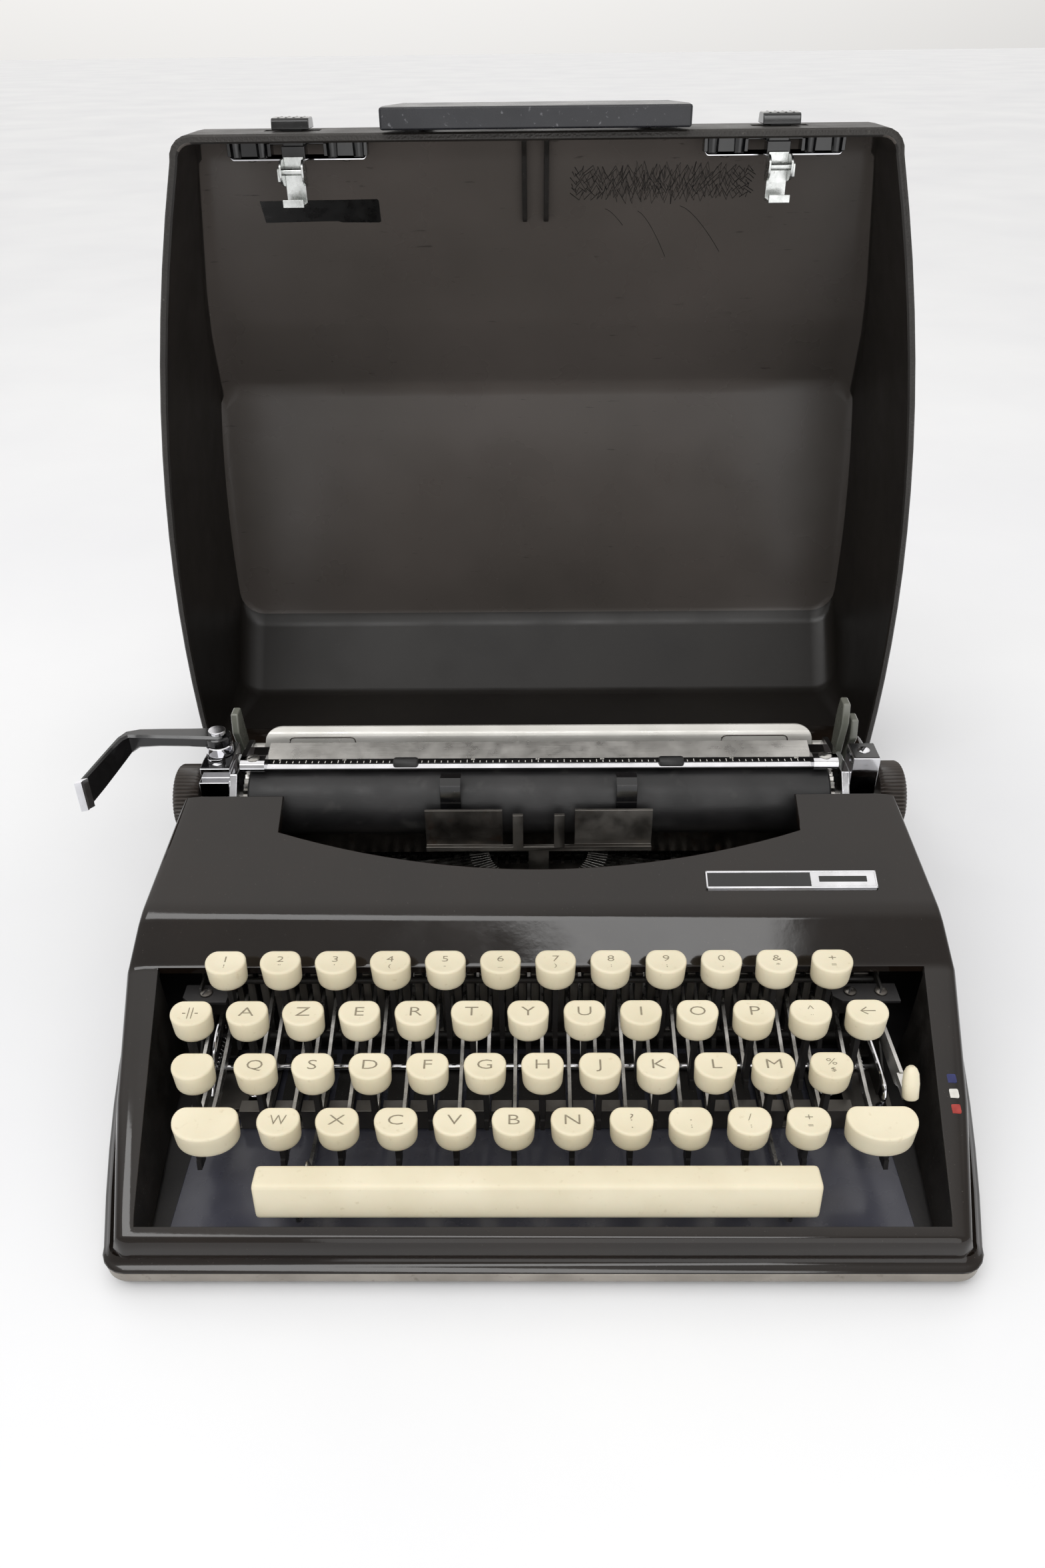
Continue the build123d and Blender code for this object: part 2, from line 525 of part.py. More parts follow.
paper_release = ear(121.6, 124.6, PAPER_PIVOT_Y, PAPER_PIVOT_Z, 189, 103)
paper_release -= rod_x(120, 126, PAPER_PIVOT_Y, PAPER_PIVOT_Z, PIVOT_PIN + RUNNING)
save("paper_release_lever", paper_release)

release = rod_x(-124.6, 129.2, RELEASE_Y, RELEASE_Z, PIVOT_PIN)
release += ear(126.2, 129.2, RELEASE_Y, RELEASE_Z, 190, 95)
release += ear(-124.6, -121.6, RELEASE_Y, RELEASE_Z, 192, 98)
save("carriage_release_lever", release)

# ---- case lid: modelled closed over the machine, then swung open to stand on its hinges
LID_FOOT_Z = RIM_Z + LID_GAP
LID_PROFILE = [
    (-2, LID_FOOT_Z), (CASE_DEPTH + 2, LID_FOOT_Z), (CASE_DEPTH + 2, 78), (247, 110), (236, LID_TOP_Z),
    (126, LID_TOP_Z - 1.5), (113, 108), (83, 90), (9, 49), (-2, 41),
]
HANDLE_PIVOT_Y, HANDLE_PIVOT_Z = -4.0, 27.0
LUG_RADIUS = 2.6
LATCH_X = 95.0


def opened(shape):
    return Pos(0, HINGE_Y, HINGE_Z) * Rot(X=-90) * Pos(0, -HINGE_Y, -HINGE_Z) * shape


def lid_solid(inset):
    profile = make_face(Polyline(*LID_PROFILE, close=True))
    if inset:
        profile = offset(profile, -inset)
    prism = Pos(-200, 0, 0) * extrude(Plane.YZ * profile, 400)
    return prism & Pos(0, 0, -20) * extrude(case_plan(inset), 200)


lid_outer = lid_solid(0.0)
lid_space = lid_solid(LID_WALL)
lid_space += Pos(0, 0, RIM_Z - 5) * extrude(case_plan(LID_WALL), 12)
lid = lid_outer - lid_space
for x in (-4.6, 4.6):
    slab = block(x - 1, x + 1, 3, 38, 20, 80) & lid_space
    lid += slab - Pos(0, 0, -2.0) * lid_space
for x in HINGE_XS:
    for x0 in (x - 11.5, x + 6.5):
        lid += block(x0, x0 + 5, CASE_DEPTH - 0.5, HINGE_Y - 1.0, LID_FOOT_Z, 24)
        lid += block(x0, x0 + 5, HINGE_Y - 2.4, HINGE_Y, HINGE_Z, LID_FOOT_Z + 2)
        lid += rod_x(x0, x0 + 5, HINGE_Y, HINGE_Z, HINGE_RADIUS)
        lid -= rod_x(x0 - 0.2, x0 + 5.2, HINGE_Y, HINGE_Z, HINGE_PIN + RUNNING)
for side in (-1, 1):
    lug_z0, lug_z1 = HANDLE_PIVOT_Z - LUG_RADIUS, HANDLE_PIVOT_Z + LUG_RADIUS
    lug = block(side * 40, side * 45.5, HANDLE_PIVOT_Y, 1, lug_z0, lug_z1)
    lug += rod_x(side * 40, side * 45.5, HANDLE_PIVOT_Y, HANDLE_PIVOT_Z, LUG_RADIUS)
    lug += rod_x(side * 45, side * 50, HANDLE_PIVOT_Y, HANDLE_PIVOT_Z, PIVOT_PIN)
    lid += lug
    lid -= block(side * LATCH_X - 11, side * LATCH_X + 11, -3, LID_WALL + 1, 21.5, 28.5)
save("case_lid", opened(lid))

# carry handle: a bevelled grip, hollow behind, on two pins
handle_outline = [(-58.6, 4.5), (58.6, 4.5), (58.6, 12), (52, 29.5), (-52, 29.5), (-58.6, 12)]
handle_plan = make_face(Polyline(*handle_outline, close=True))
handle_plane = Plane(origin=(0, 0, 0), x_dir=(1, 0, 0), z_dir=(0, -1, 0))
handle = Pos(0, -1.0, 0) * extrude(handle_plane * handle_plan, 7.6)
handle -= block(-46, 46, -7.0, 0, 8.5, 40)
handle -= rod_x(-50.5, 50.5, HANDLE_PIVOT_Y, HANDLE_PIVOT_Z, PIVOT_PIN + RUNNING)
save("carry_handle", opened(handle))

# latches: a sliding button outside, its carrier through the wall and the hook inside
housings = []
for side, name in ((-1, "latch_left"), (1, "latch_right")):
    x = side * LATCH_X
    latch = block(x - 7.3, x + 7.3, -4.5, -0.6, 19, 31)
    latch += block(x - 4, x + 4, -2, 10, 22, 28)
    latch += block(x - 6.8, x + 6.8, 4.2, 10, 19.2, 28)
    latch += block(x - 4.2, x + 4.2, 9, 25.5, 19.2, 20.8)
    latch += block(x - 4.2, x + 4.2, 23.9, 25.5, 9.4, 20)
    latch -= post(x, 17, 18, 22, 2.2)
    save(name, opened(latch))
    housing = block(x - 28, x + 28, LID_WALL, 9.5, 29, 35)
    housing += block(x - 28, x + 28, LID_WALL, 11, 35, 36.2)
    housing -= lid_outer - lid_space
    housings.append(opened(housing))
save("latch_housings", *housings)
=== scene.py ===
import json
import random
from math import cos, pi, radians, sin, sqrt

import bmesh
import bpy
from mathutils import Matrix, Vector

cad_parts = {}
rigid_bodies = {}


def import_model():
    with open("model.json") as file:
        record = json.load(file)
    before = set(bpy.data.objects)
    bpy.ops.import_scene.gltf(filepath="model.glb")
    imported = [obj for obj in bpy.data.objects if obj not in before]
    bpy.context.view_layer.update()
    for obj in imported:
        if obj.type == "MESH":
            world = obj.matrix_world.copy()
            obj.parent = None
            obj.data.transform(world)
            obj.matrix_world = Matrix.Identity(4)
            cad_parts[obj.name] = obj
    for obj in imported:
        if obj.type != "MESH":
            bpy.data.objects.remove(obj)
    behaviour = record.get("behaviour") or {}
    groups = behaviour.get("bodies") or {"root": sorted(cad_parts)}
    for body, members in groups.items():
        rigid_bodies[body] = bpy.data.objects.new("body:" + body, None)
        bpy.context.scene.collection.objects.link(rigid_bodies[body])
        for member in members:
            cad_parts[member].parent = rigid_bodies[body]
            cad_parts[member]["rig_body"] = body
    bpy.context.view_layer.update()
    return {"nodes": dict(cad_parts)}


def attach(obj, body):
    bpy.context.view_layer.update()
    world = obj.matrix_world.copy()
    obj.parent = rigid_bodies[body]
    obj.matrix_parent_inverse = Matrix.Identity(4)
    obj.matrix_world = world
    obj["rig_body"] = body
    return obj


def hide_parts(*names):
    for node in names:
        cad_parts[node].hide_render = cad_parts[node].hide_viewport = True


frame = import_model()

# A portable typewriter standing open in its carrying case.
# Lengths below are millimetres, counted as in the CAD source: Y from the front edge of the base and
# Z from the table. at() turns them into metres in the part's own frame.
MM = 0.001
BASE_MIDDLE_Y = 142.0
# points nearer than this, in metres, are the same point
WELD = 2e-6


def at(x, y, z):
    return Vector((x, y - BASE_MIDDLE_Y, z)) * MM


# ------------------------------------------------------------------ materials
def tone(red, green, blue):
    """An sRGB colour as the linear values that shaders take."""
    parts = [c / 255 for c in (red, green, blue)]
    linear = [c / 12.92 if c <= 0.04045 else ((c + 0.055) / 1.055) ** 2.4 for c in parts]
    return (*linear, 1.0)


class Look:
    """A node-based material: two mottled tones, a varying roughness, and grain, stains or wear on top."""

    def __init__(self, name, dark, light, rough, mottle=60.0, metallic=0.0, coat=0.0):
        self.material = bpy.data.materials.new(name)
        self.material.use_nodes = True
        self.tree = self.material.node_tree
        self.shader = self.tree.nodes["Principled BSDF"]
        self.shader.inputs["Metallic"].default_value = metallic
        self.shader.inputs["Coat Weight"].default_value = coat
        self.shader.inputs["Coat Roughness"].default_value = 0.08
        self.place = self.tree.nodes.new("ShaderNodeTexCoord").outputs["Object"]
        self.last_bump = None
        cloud = self.spread(self.noise(mottle, 6.0), 0.0, 1.0, 0.35, 0.65)
        self.colour = self.mix(cloud, tone(*dark), tone(*light))
        self.join(self.colour, self.shader.inputs["Base Color"])
        self.join(self.spread(self.noise(mottle * 2.3, 4.0), *rough), self.shader.inputs["Roughness"])

    def join(self, start, end):
        self.tree.links.new(start, end)

    def noise(self, scale, detail, stretch=None):
        node = self.tree.nodes.new("ShaderNodeTexNoise")
        node.inputs["Scale"].default_value = scale
        node.inputs["Detail"].default_value = detail
        source = self.place
        if stretch:
            mapping = self.tree.nodes.new("ShaderNodeMapping")
            mapping.inputs["Scale"].default_value = stretch
            self.join(source, mapping.inputs["Vector"])
            source = mapping.outputs["Vector"]
        self.join(source, node.inputs["Vector"])
        return node.outputs["Fac"]

    def spread(self, value, low, high, from_low=0.3, from_high=0.7):
        node = self.tree.nodes.new("ShaderNodeMapRange")
        numbers = (("From Min", from_low), ("From Max", from_high), ("To Min", low), ("To Max", high))
        for name, number in numbers:
            node.inputs[name].default_value = number
        self.join(value, node.inputs["Value"])
        return node.outputs["Result"]

    def mix(self, factor, first, second):
        node = self.tree.nodes.new("ShaderNodeMix")
        node.data_type = "RGBA"
        self.join(factor, node.inputs[0])
        for socket, value in ((node.inputs[6], first), (node.inputs[7], second)):
            if isinstance(value, tuple):
                socket.default_value = value
            else:
                self.join(value, socket)
        return node.outputs[2]

    def bump(self, height, depth):
        node = self.tree.nodes.new("ShaderNodeBump")
        node.inputs["Strength"].default_value = 1.0
        node.inputs["Distance"].default_value = depth * MM
        self.join(height, node.inputs["Height"])
        if self.last_bump:
            self.join(self.last_bump, node.inputs["Normal"])
        self.last_bump = node.outputs["Normal"]
        self.join(self.last_bump, self.shader.inputs["Normal"])
        return self

    def grain(self, scale, detail, depth, stretch=None):
        """A fine unevenness of the surface, its depth in millimetres."""
        return self.bump(self.noise(scale, detail, stretch), depth)

    def pebbles(self, scale, depth):
        """Rounded moulded grain, as on a plastic case."""
        node = self.tree.nodes.new("ShaderNodeTexVoronoi")
        node.inputs["Scale"].default_value = scale
        self.join(self.place, node.inputs["Vector"])
        return self.bump(node.outputs["Distance"], depth)

    def overlay(self, value, low, high, colour, amount):
        """Lays a second colour where value passes from low to high."""
        self.colour = self.mix(self.spread(value, 0.0, amount, low, high), self.colour, tone(*colour))
        self.join(self.colour, self.shader.inputs["Base Color"])
        return self

    def stain(self, scale, detail, low, high, colour, amount=1.0, stretch=None):
        """Dust, stains or dull spots, where a noise passes from low to high."""
        return self.overlay(self.noise(scale, detail, stretch), low, high, colour, amount)

    def worn_edges(self, colour, amount):
        """Lighter, rubbed edges."""
        shape = self.tree.nodes.new("ShaderNodeNewGeometry")
        return self.overlay(shape.outputs["Pointiness"], 0.53, 0.6, colour, amount)


DUST = (150, 145, 138)


def make_looks():
    looks = {}

    def add(name, *args, **more):
        looks[name] = Look(name, *args, **more)
        return looks[name]

    # glossy and dull plastics of the cover and the case
    add("shell_gloss", (20, 14, 10), (26, 19, 14), (0.05, 0.11), 25).grain(260, 3, 0.012).grain(
        34, 2, 0.05).stain(2600, 2, 0.72, 0.8, DUST, 0.35)
    add("well_dull", (17, 15, 13), (30, 26, 23), (0.45, 0.7), 45).grain(900, 3, 0.03).stain(
        1900, 3, 0.66, 0.78, DUST, 0.4)
    add("case_grain", (36, 33, 30), (44, 41, 38), (0.42, 0.58), 30).pebbles(1150, 0.16).grain(
        2400, 4, 0.05).stain(700, 5, 0.66, 0.8, DUST, 0.2)
    # the lid's inside is one plastic drawn as two copies: a darker one whose tone is painted shade, and a
    # lighter one whose tone is painted reflection of the bright floor
    add("inner_lid_painted_shade", (30, 27, 25), (37, 34, 31), (0.3, 0.45), 12).grain(420, 3, 0.02).stain(
        1500, 3, 0.7, 0.8, DUST, 0.3)
    add("case_inside", (80, 75, 71), (92, 86, 82), (0.22, 0.36), 9).grain(420, 3, 0.02).grain(
        11, 2, 0.5).stain(1500, 3, 0.7, 0.8, DUST, 0.3).stain(
        90, 6, 0.68, 0.74, (14, 12, 11), 0.5, (1, 0.04, 7))
    add("worn_residue", (14, 12, 11), (36, 32, 29), (0.5, 0.8), 160).grain(900, 5, 0.08, (0.3, 1, 1))
    add("dark_label", (9, 9, 9), (17, 16, 16), (0.2, 0.4), 90).grain(260, 4, 0.05)
    # keys
    ivory = add("ivory", (223, 213, 185), (231, 222, 196), (0.34, 0.46), 40)
    ivory.grain(700, 3, 0.01).stain(420, 6, 0.64, 0.76, (188, 172, 132), 0.35)
    ivory.shader.inputs["Subsurface Weight"].default_value = 0.06
    ivory.shader.inputs["Subsurface Scale"].default_value = 0.002
    add("key_boss", (120, 105, 78), (146, 130, 98), (0.4, 0.6), 220).grain(1200, 3, 0.03)
    add("legend", (128, 118, 98), (148, 138, 116), (0.5, 0.7), 900).grain(2600, 3, 0.01)
    # metals
    add("lever_steel", (150, 148, 144), (196, 194, 190), (0.2, 0.42), 120, 1.0).grain(
        900, 3, 0.02, (1, 0.05, 1)).stain(260, 5, 0.6, 0.75, (92, 84, 74), 0.6)
    add("frame_steel", (58, 55, 52), (92, 88, 84), (0.35, 0.6), 60, 1.0).grain(1100, 4, 0.03).stain(
        180, 6, 0.58, 0.72, (70, 52, 40), 0.6).worn_edges((170, 166, 160), 0.5)
    add("chrome", (205, 205, 208), (226, 226, 230), (0.05, 0.14), 90, 1.0).grain(60, 2, 0.02).stain(
        700, 5, 0.68, 0.78, (120, 112, 100), 0.5)
    add("brushed_alloy", (186, 184, 180), (214, 212, 208), (0.24, 0.4), 70, 1.0).grain(
        2400, 3, 0.02, (0.03, 1, 1))
    add("silver_cream", (206, 204, 198), (222, 220, 215), (0.25, 0.4), 40, 0.35).grain(1800, 3, 0.02)
    add("tray_strip", (138, 132, 124), (160, 154, 146), (0.3, 0.5), 50, 0.55).grain(
        1500, 3, 0.03, (0.1, 1, 1)).stain(300, 5, 0.62, 0.74, (96, 88, 78), 0.5)
    add("latch_zinc", (188, 190, 188), (220, 222, 220), (0.18, 0.34), 160, 1.0).grain(
        700, 4, 0.03).stain(420, 5, 0.6, 0.74, (120, 118, 110), 0.5)
    # paints, rubbers and small plastic parts
    add("floor_paint", (60, 61, 72), (74, 75, 86), (0.2, 0.34), 28, coat=0.1).grain(500, 3, 0.02).stain(
        1500, 3, 0.69, 0.78, DUST, 0.4)
    add("pan_dark", (26, 25, 26), (40, 38, 38), (0.4, 0.6), 40).grain(700, 4, 0.05)
    add("platen_rubber", (20, 20, 21), (34, 33, 34), (0.4, 0.55), 50).grain(
        1400, 3, 0.03, (0.2, 1, 1)).stain(140, 5, 0.6, 0.75, (70, 68, 66), 0.3)
    add("soft_rubber", (18, 18, 18), (30, 30, 30), (0.7, 0.9), 80).grain(1500, 4, 0.05)
    add("knob_plastic", (40, 35, 32), (54, 48, 44), (0.3, 0.45), 60).grain(
        900, 3, 0.02).worn_edges((96, 88, 80), 0.4)
    add("black_gloss", (10, 10, 11), (18, 18, 20), (0.1, 0.2), 60, coat=0.3).grain(300, 3, 0.015).stain(
        1700, 3, 0.7, 0.8, DUST, 0.35)
    add("handle_plastic", (20, 21, 26), (28, 29, 35), (0.22, 0.34), 35).grain(1200, 3, 0.03).stain(
        520, 6, 0.66, 0.74, (150, 150, 155), 0.35)
    add("ear_enamel", (74, 78, 70), (98, 102, 92), (0.15, 0.3), 70, coat=0.3).grain(
        500, 3, 0.02).worn_edges((160, 158, 150), 0.5)
    add("spool_paint", (24, 23, 22), (40, 38, 36), (0.3, 0.5), 90).grain(
        900, 3, 0.03).worn_edges((130, 126, 120), 0.5)
    add("white_print", (224, 222, 214), (236, 234, 228), (0.4, 0.6), 300).grain(1500, 3, 0.01)
    marks = (("mark_blue", (24, 30, 84)), ("mark_white", (206, 204, 198)), ("mark_red", (150, 40, 32)))
    for name, colour in marks:
        lighter = tuple(min(255, part + 14) for part in colour)
        add(name, colour, lighter, (0.3, 0.5), 500).grain(1300, 3, 0.02)
    return {name: look.material for name, look in looks.items()}


LOOKS = make_looks()


# ------------------------------------------------------------------ shapes
class Shape:
    """Gathers faces in millimetres, then makes them one piece."""

    def __init__(self):
        self.points = []
        self.faces = []
        self.tones = []

    def add(self, points, faces, look=0):
        start = len(self.points)
        self.points += [tuple(point) for point in points]
        self.faces += [tuple(start + i for i in face) for face in faces]
        self.tones += [look] * len(faces)
        return self

    def rings(self, rings, look=0, ends=True):
        count, last = len(rings[0]), len(rings) - 1
        faces = []
        for r in range(last):
            for i in range(count):
                j = (i + 1) % count
                faces.append((r * count + i, r * count + j, (r + 1) * count + j, (r + 1) * count + i))
        if ends:
            faces.append(tuple(range(count)))
            faces.append(tuple(last * count + i for i in range(count)))
        return self.add([point for ring in rings for point in ring], faces, look)

    def block(self, x0, x1, y0, y1, z0, z1, look=0):
        corners = ((x0, y0), (x1, y0), (x1, y1), (x0, y1))
        return self.rings([[(x, y, z) for x, y in corners] for z in (z0, z1)], look)

    def plate(self, outline, x0, x1, look=0):
        """A plate lying across X, from its outline in Y and Z."""
        return self.rings([[(x, y, z) for y, z in outline] for x in (x0, x1)], look)

    def slab(self, outline, z0, z1, look=0):
        """A plate lying flat, from its outline in X and Y."""
        return self.rings([[(x, y, z) for x, y in outline] for z in (z0, z1)], look)

    def turned(self, profile, axis, centre, look=0, steps=32, ridges=0.0):
        """A turned form about X, Y or Z: profile holds the place along the axis and the radius there."""
        rings = []
        for along, radius in profile:
            ring = []
            for i in range(steps):
                turn = 2 * pi * i / steps
                r = radius - (ridges if i % 2 and radius > ridges * 4 else 0.0)
                u, v = r * cos(turn), r * sin(turn)
                if axis == "x":
                    ring.append((along, centre[0] + u, centre[1] + v))
                elif axis == "y":
                    ring.append((centre[0] + u, along, centre[1] + v))
                else:
                    ring.append((centre[0] + u, centre[1] + v, along))
            rings.append(ring)
        return self.rings(rings, look)

    def roller(self, x0, x1, radius, centre, ease=(0.4, 0.4), look=0, steps=32):
        """A round bar along X; ease is how far its ends draw in along it and in radius."""
        small = radius - ease[1]
        profile = [(x0, small), (x0 + ease[0], radius), (x1 - ease[0], radius), (x1, small)]
        return self.turned(profile, "x", centre, look, steps)

    def wire(self, path, radius, look=0, steps=8):
        """A round wire along a path."""
        rings = []
        for i, point in enumerate(path):
            here = Vector(point)
            before, after = Vector(path[max(i - 1, 0)]), Vector(path[min(i + 1, len(path) - 1)])
            along = (after - before).normalized()
            side = along.cross(Vector((0.31, 0.17, 0.93))).normalized()
            other = along.cross(side)
            turns = [2 * pi * k / steps for k in range(steps)]
            rings.append([tuple(here + side * radius * cos(t) + other * radius * sin(t)) for t in turns])
        return self.rings(rings, look)

    def screw(self, x, y, z, radius, facing="z", look=0, painted_slot_shade_look=1, turn=0.6):
        """A slotted screw head facing up or forward; a dark bar just proud of it stands for its slot, its
        dark colour painted shade in the groove.
        """
        profile = [(0.0, radius), (0.5, radius), (0.85, radius * 0.8), (0.95, radius * 0.4)]
        base, centre = (z, (x, y)) if facing == "z" else (y, (x, z))
        flip = 1 if facing == "z" else -1
        self.turned([(base + flip * a, r) for a, r in profile], facing[-1], centre, look, 20)
        c, s, half, wide = cos(turn), sin(turn), radius * 0.82, radius * 0.14
        corners = ((-half, -wide), (half, -wide), (half, wide), (-half, wide))
        flat = [(c * u - s * v, s * u + c * v) for u, v in corners]
        tops = []
        for depth in (0.5, 1.0):
            ring = []
            for u, v in flat:
                ring.append((x + u, y + v, z + depth) if facing == "z" else (x + u, y - depth, z + v))
            tops.append(ring)
        return self.rings(tops, painted_slot_shade_look)

    def piece(self, name, body, slot, looks, bevel=0.0, instead_of=(), smooth=32, turn=None):
        mesh = bpy.data.meshes.new(name)
        place = turn if turn else lambda point: point
        mesh.from_pydata([at(*place(point)) for point in self.points], [], self.faces)
        for face, look in zip(mesh.polygons, self.tones):
            face.material_index = look
        return finish_piece(mesh, name, body, looks, bevel, instead_of, smooth)


def finish_piece(mesh, name, body, looks, bevel, instead_of, smooth=32):
    for look in looks:
        mesh.materials.append(LOOKS[look])
    work = bmesh.new()
    work.from_mesh(mesh)
    bmesh.ops.recalc_face_normals(work, faces=work.faces)
    work.to_mesh(mesh)
    work.free()
    for face in mesh.polygons:
        face.use_smooth = True
    mesh.set_sharp_from_angle(angle=radians(smooth))
    made = bpy.data.objects.new(name, mesh)
    bpy.context.scene.collection.objects.link(made)
    if bevel:
        round_off = made.modifiers.new("edges", "BEVEL")
        round_off.width = bevel * MM
        round_off.segments = 2
        round_off.limit_method = "ANGLE"
        round_off.angle_limit = radians(smooth)
        round_off.use_clamp_overlap = False
        round_off.harden_normals = True
    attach(made, body)
    if instead_of:
        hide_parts(*instead_of)
    return made


def rounded_copy(node, name, looks, bevel, pick=None, narrow=1.0):
    """The CAD part's own shape with its edges eased; pick chooses a look for each face."""
    source = frame["nodes"][node]
    work = bmesh.new()
    work.from_mesh(source.data)
    bmesh.ops.remove_doubles(work, verts=work.verts, dist=WELD)
    bmesh.ops.dissolve_limit(work, angle_limit=radians(0.6), verts=work.verts, edges=work.edges)
    work.verts.index_update()
    points = [(v.co.x * narrow, v.co.y, v.co.z) for v in work.verts]
    faces = [tuple(v.index for v in face.verts) for face in work.faces]
    work.free()
    mesh = bpy.data.meshes.new(name)
    mesh.from_pydata(points, [], faces)
    mesh.update()
    if pick:
        for face in mesh.polygons:
            middle = face.center / MM
            face.material_index = pick(middle.x, middle.y + BASE_MIDDLE_Y, middle.z, face.normal)
    return finish_piece(mesh, name, source["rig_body"], looks, bevel, (node,))


def wear(node, look):
    """A better material on a CAD part that keeps its own mesh."""
    for holder in frame["nodes"][node].material_slots:
        holder.material = LOOKS[look]


def softened(points, radius, steps=4):
    """A line of points with each inner corner turned into a short curve."""
    line = [points[0]]
    for before, corner, after in zip(points, points[1:], points[2:]):
        corner = Vector(corner)
        back, ahead = Vector(before) - corner, Vector(after) - corner
        reach = min(radius, back.length * 0.45, ahead.length * 0.45)
        start, end = corner + back.normalized() * reach, corner + ahead.normalized() * reach
        for i in range(steps + 1):
            t = i / steps
            line.append(tuple(start * (1 - t) ** 2 + corner * 2 * t * (1 - t) + end * t ** 2))
    line.append(points[-1])
    return line


def between(table, value):
    """Straight-line lookup in rows whose first number rises."""
    if value <= table[0][0]:
        return table[0][1]
    for (a, first), (b, second) in zip(table, table[1:]):
        if value <= b:
            return first + (second - first) * (value - a) / max(b - a, 1e-6)
    return table[-1][1]


def lettering(text, size, widen=1.0, widest=99.0, thin=-0.012, thick=0.16):
    """Raised letters centred on the origin, no wider than widest, as points and faces."""
    curve = bpy.data.curves.new("letters", "FONT")
    curve.body = text
    curve.size = 1.0
    curve.align_x = "CENTER"
    curve.align_y = "CENTER"
    curve.offset = thin
    curve.resolution_u = 3
    curve.extrude = thick / size / 2
    holder = bpy.data.objects.new("letters", curve)
    mesh = bpy.data.meshes.new_from_object(holder)
    half = max(abs(v.co.x) for v in mesh.vertices)
    widen = min(widen, widest / (2 * half * size))
    points = [(v.co.x * size * widen, v.co.y * size, v.co.z * size) for v in mesh.vertices]
    faces = [tuple(face.vertices) for face in mesh.polygons]
    bpy.data.objects.remove(holder)
    bpy.data.meshes.remove(mesh)
    bpy.data.curves.remove(curve)
    return points, faces


def across(side, near, far):
    """Two distances from the middle line, on the left (-1) or the right (1), the lower X first."""
    return sorted((side * near, side * far))


def cut(target, cutter):
    """Takes the cutter's space out of the target mesh object, and removes the cutter."""
    tool = target.modifiers.new("cut", "BOOLEAN")
    tool.operation = "DIFFERENCE"
    tool.solver = "EXACT"
    tool.object = cutter
    bpy.context.view_layer.update()
    view = bpy.context.evaluated_depsgraph_get()
    mesh = bpy.data.meshes.new_from_object(target.evaluated_get(view))
    target.modifiers.clear()
    target.data = mesh
    bpy.data.objects.remove(cutter)


def join_flat_faces(mesh):
    """Clears the small triangles that cutting leaves on flat faces."""
    work = bmesh.new()
    work.from_mesh(mesh)
    bmesh.ops.remove_doubles(work, verts=work.verts, dist=WELD)
    bmesh.ops.dissolve_limit(work, angle_limit=radians(0.5), verts=work.verts, edges=work.edges,
                             delimit={"MATERIAL"})
    work.to_mesh(mesh)
    work.free()


def loose(shape, name):
    """A plain object in the scene, used only to cut with or to be cut."""
    mesh = bpy.data.meshes.new(name)
    mesh.from_pydata([at(*point) for point in shape.points], [], shape.faces)
    for face, look in zip(mesh.polygons, shape.tones):
        face.material_index = look
    work = bmesh.new()
    work.from_mesh(mesh)
    bmesh.ops.triangulate(work, faces=work.faces)
    bmesh.ops.recalc_face_normals(work, faces=work.faces)
    work.to_mesh(mesh)
    work.free()
    made = bpy.data.objects.new(name, mesh)
    bpy.context.scene.collection.objects.link(made)
    return made


# ------------------------------------------------------------------ camera, floor and light
CAMERA_PLACE = (-1.2, -208.0, 331.2)
PITCH, YAW, ROLL = radians(34.0), radians(-0.78), radians(-0.70)
SENSOR = 36.0
LENS = 26.14


def make_camera():
    ahead = Vector((sin(YAW) * cos(PITCH), cos(YAW) * cos(PITCH), -sin(PITCH)))
    right = Vector((cos(YAW), -sin(YAW), 0.0))
    up = right.cross(ahead)
    right, up = right * cos(ROLL) + up * sin(ROLL), up * cos(ROLL) - right * sin(ROLL)
    camera = bpy.data.cameras.new("camera")
    camera.sensor_fit = "VERTICAL"
    camera.sensor_height = SENSOR
    camera.sensor_width = SENSOR
    camera.lens = LENS
    camera.clip_start = 0.01
    holder = bpy.data.objects.new("camera", camera)
    turn = Matrix((right, up, -ahead)).transposed().to_4x4()
    holder.matrix_world = Matrix.Translation(at(*CAMERA_PLACE)) @ turn
    bpy.context.scene.collection.objects.link(holder)
    bpy.context.scene.camera = holder


def make_floor():
    reach = 14000.0
    floor = Look("floor_white", (232, 233, 236), (238, 239, 241), (0.45, 0.6), 3).grain(180, 3, 0.05)
    mesh = bpy.data.meshes.new("floor")
    corners = [(-reach, -reach, 0), (reach, -reach, 0), (reach, reach, 0), (-reach, reach, 0)]
    mesh.from_pydata([at(*corner) for corner in corners], [], [(0, 1, 2, 3)])
    mesh.materials.append(floor.material)
    made = bpy.data.objects.new("floor", mesh)
    bpy.context.scene.collection.objects.link(made)


# the world's brightness level with the machine, and overhead
ROOM = 0.48
OVERHEAD = 1.26


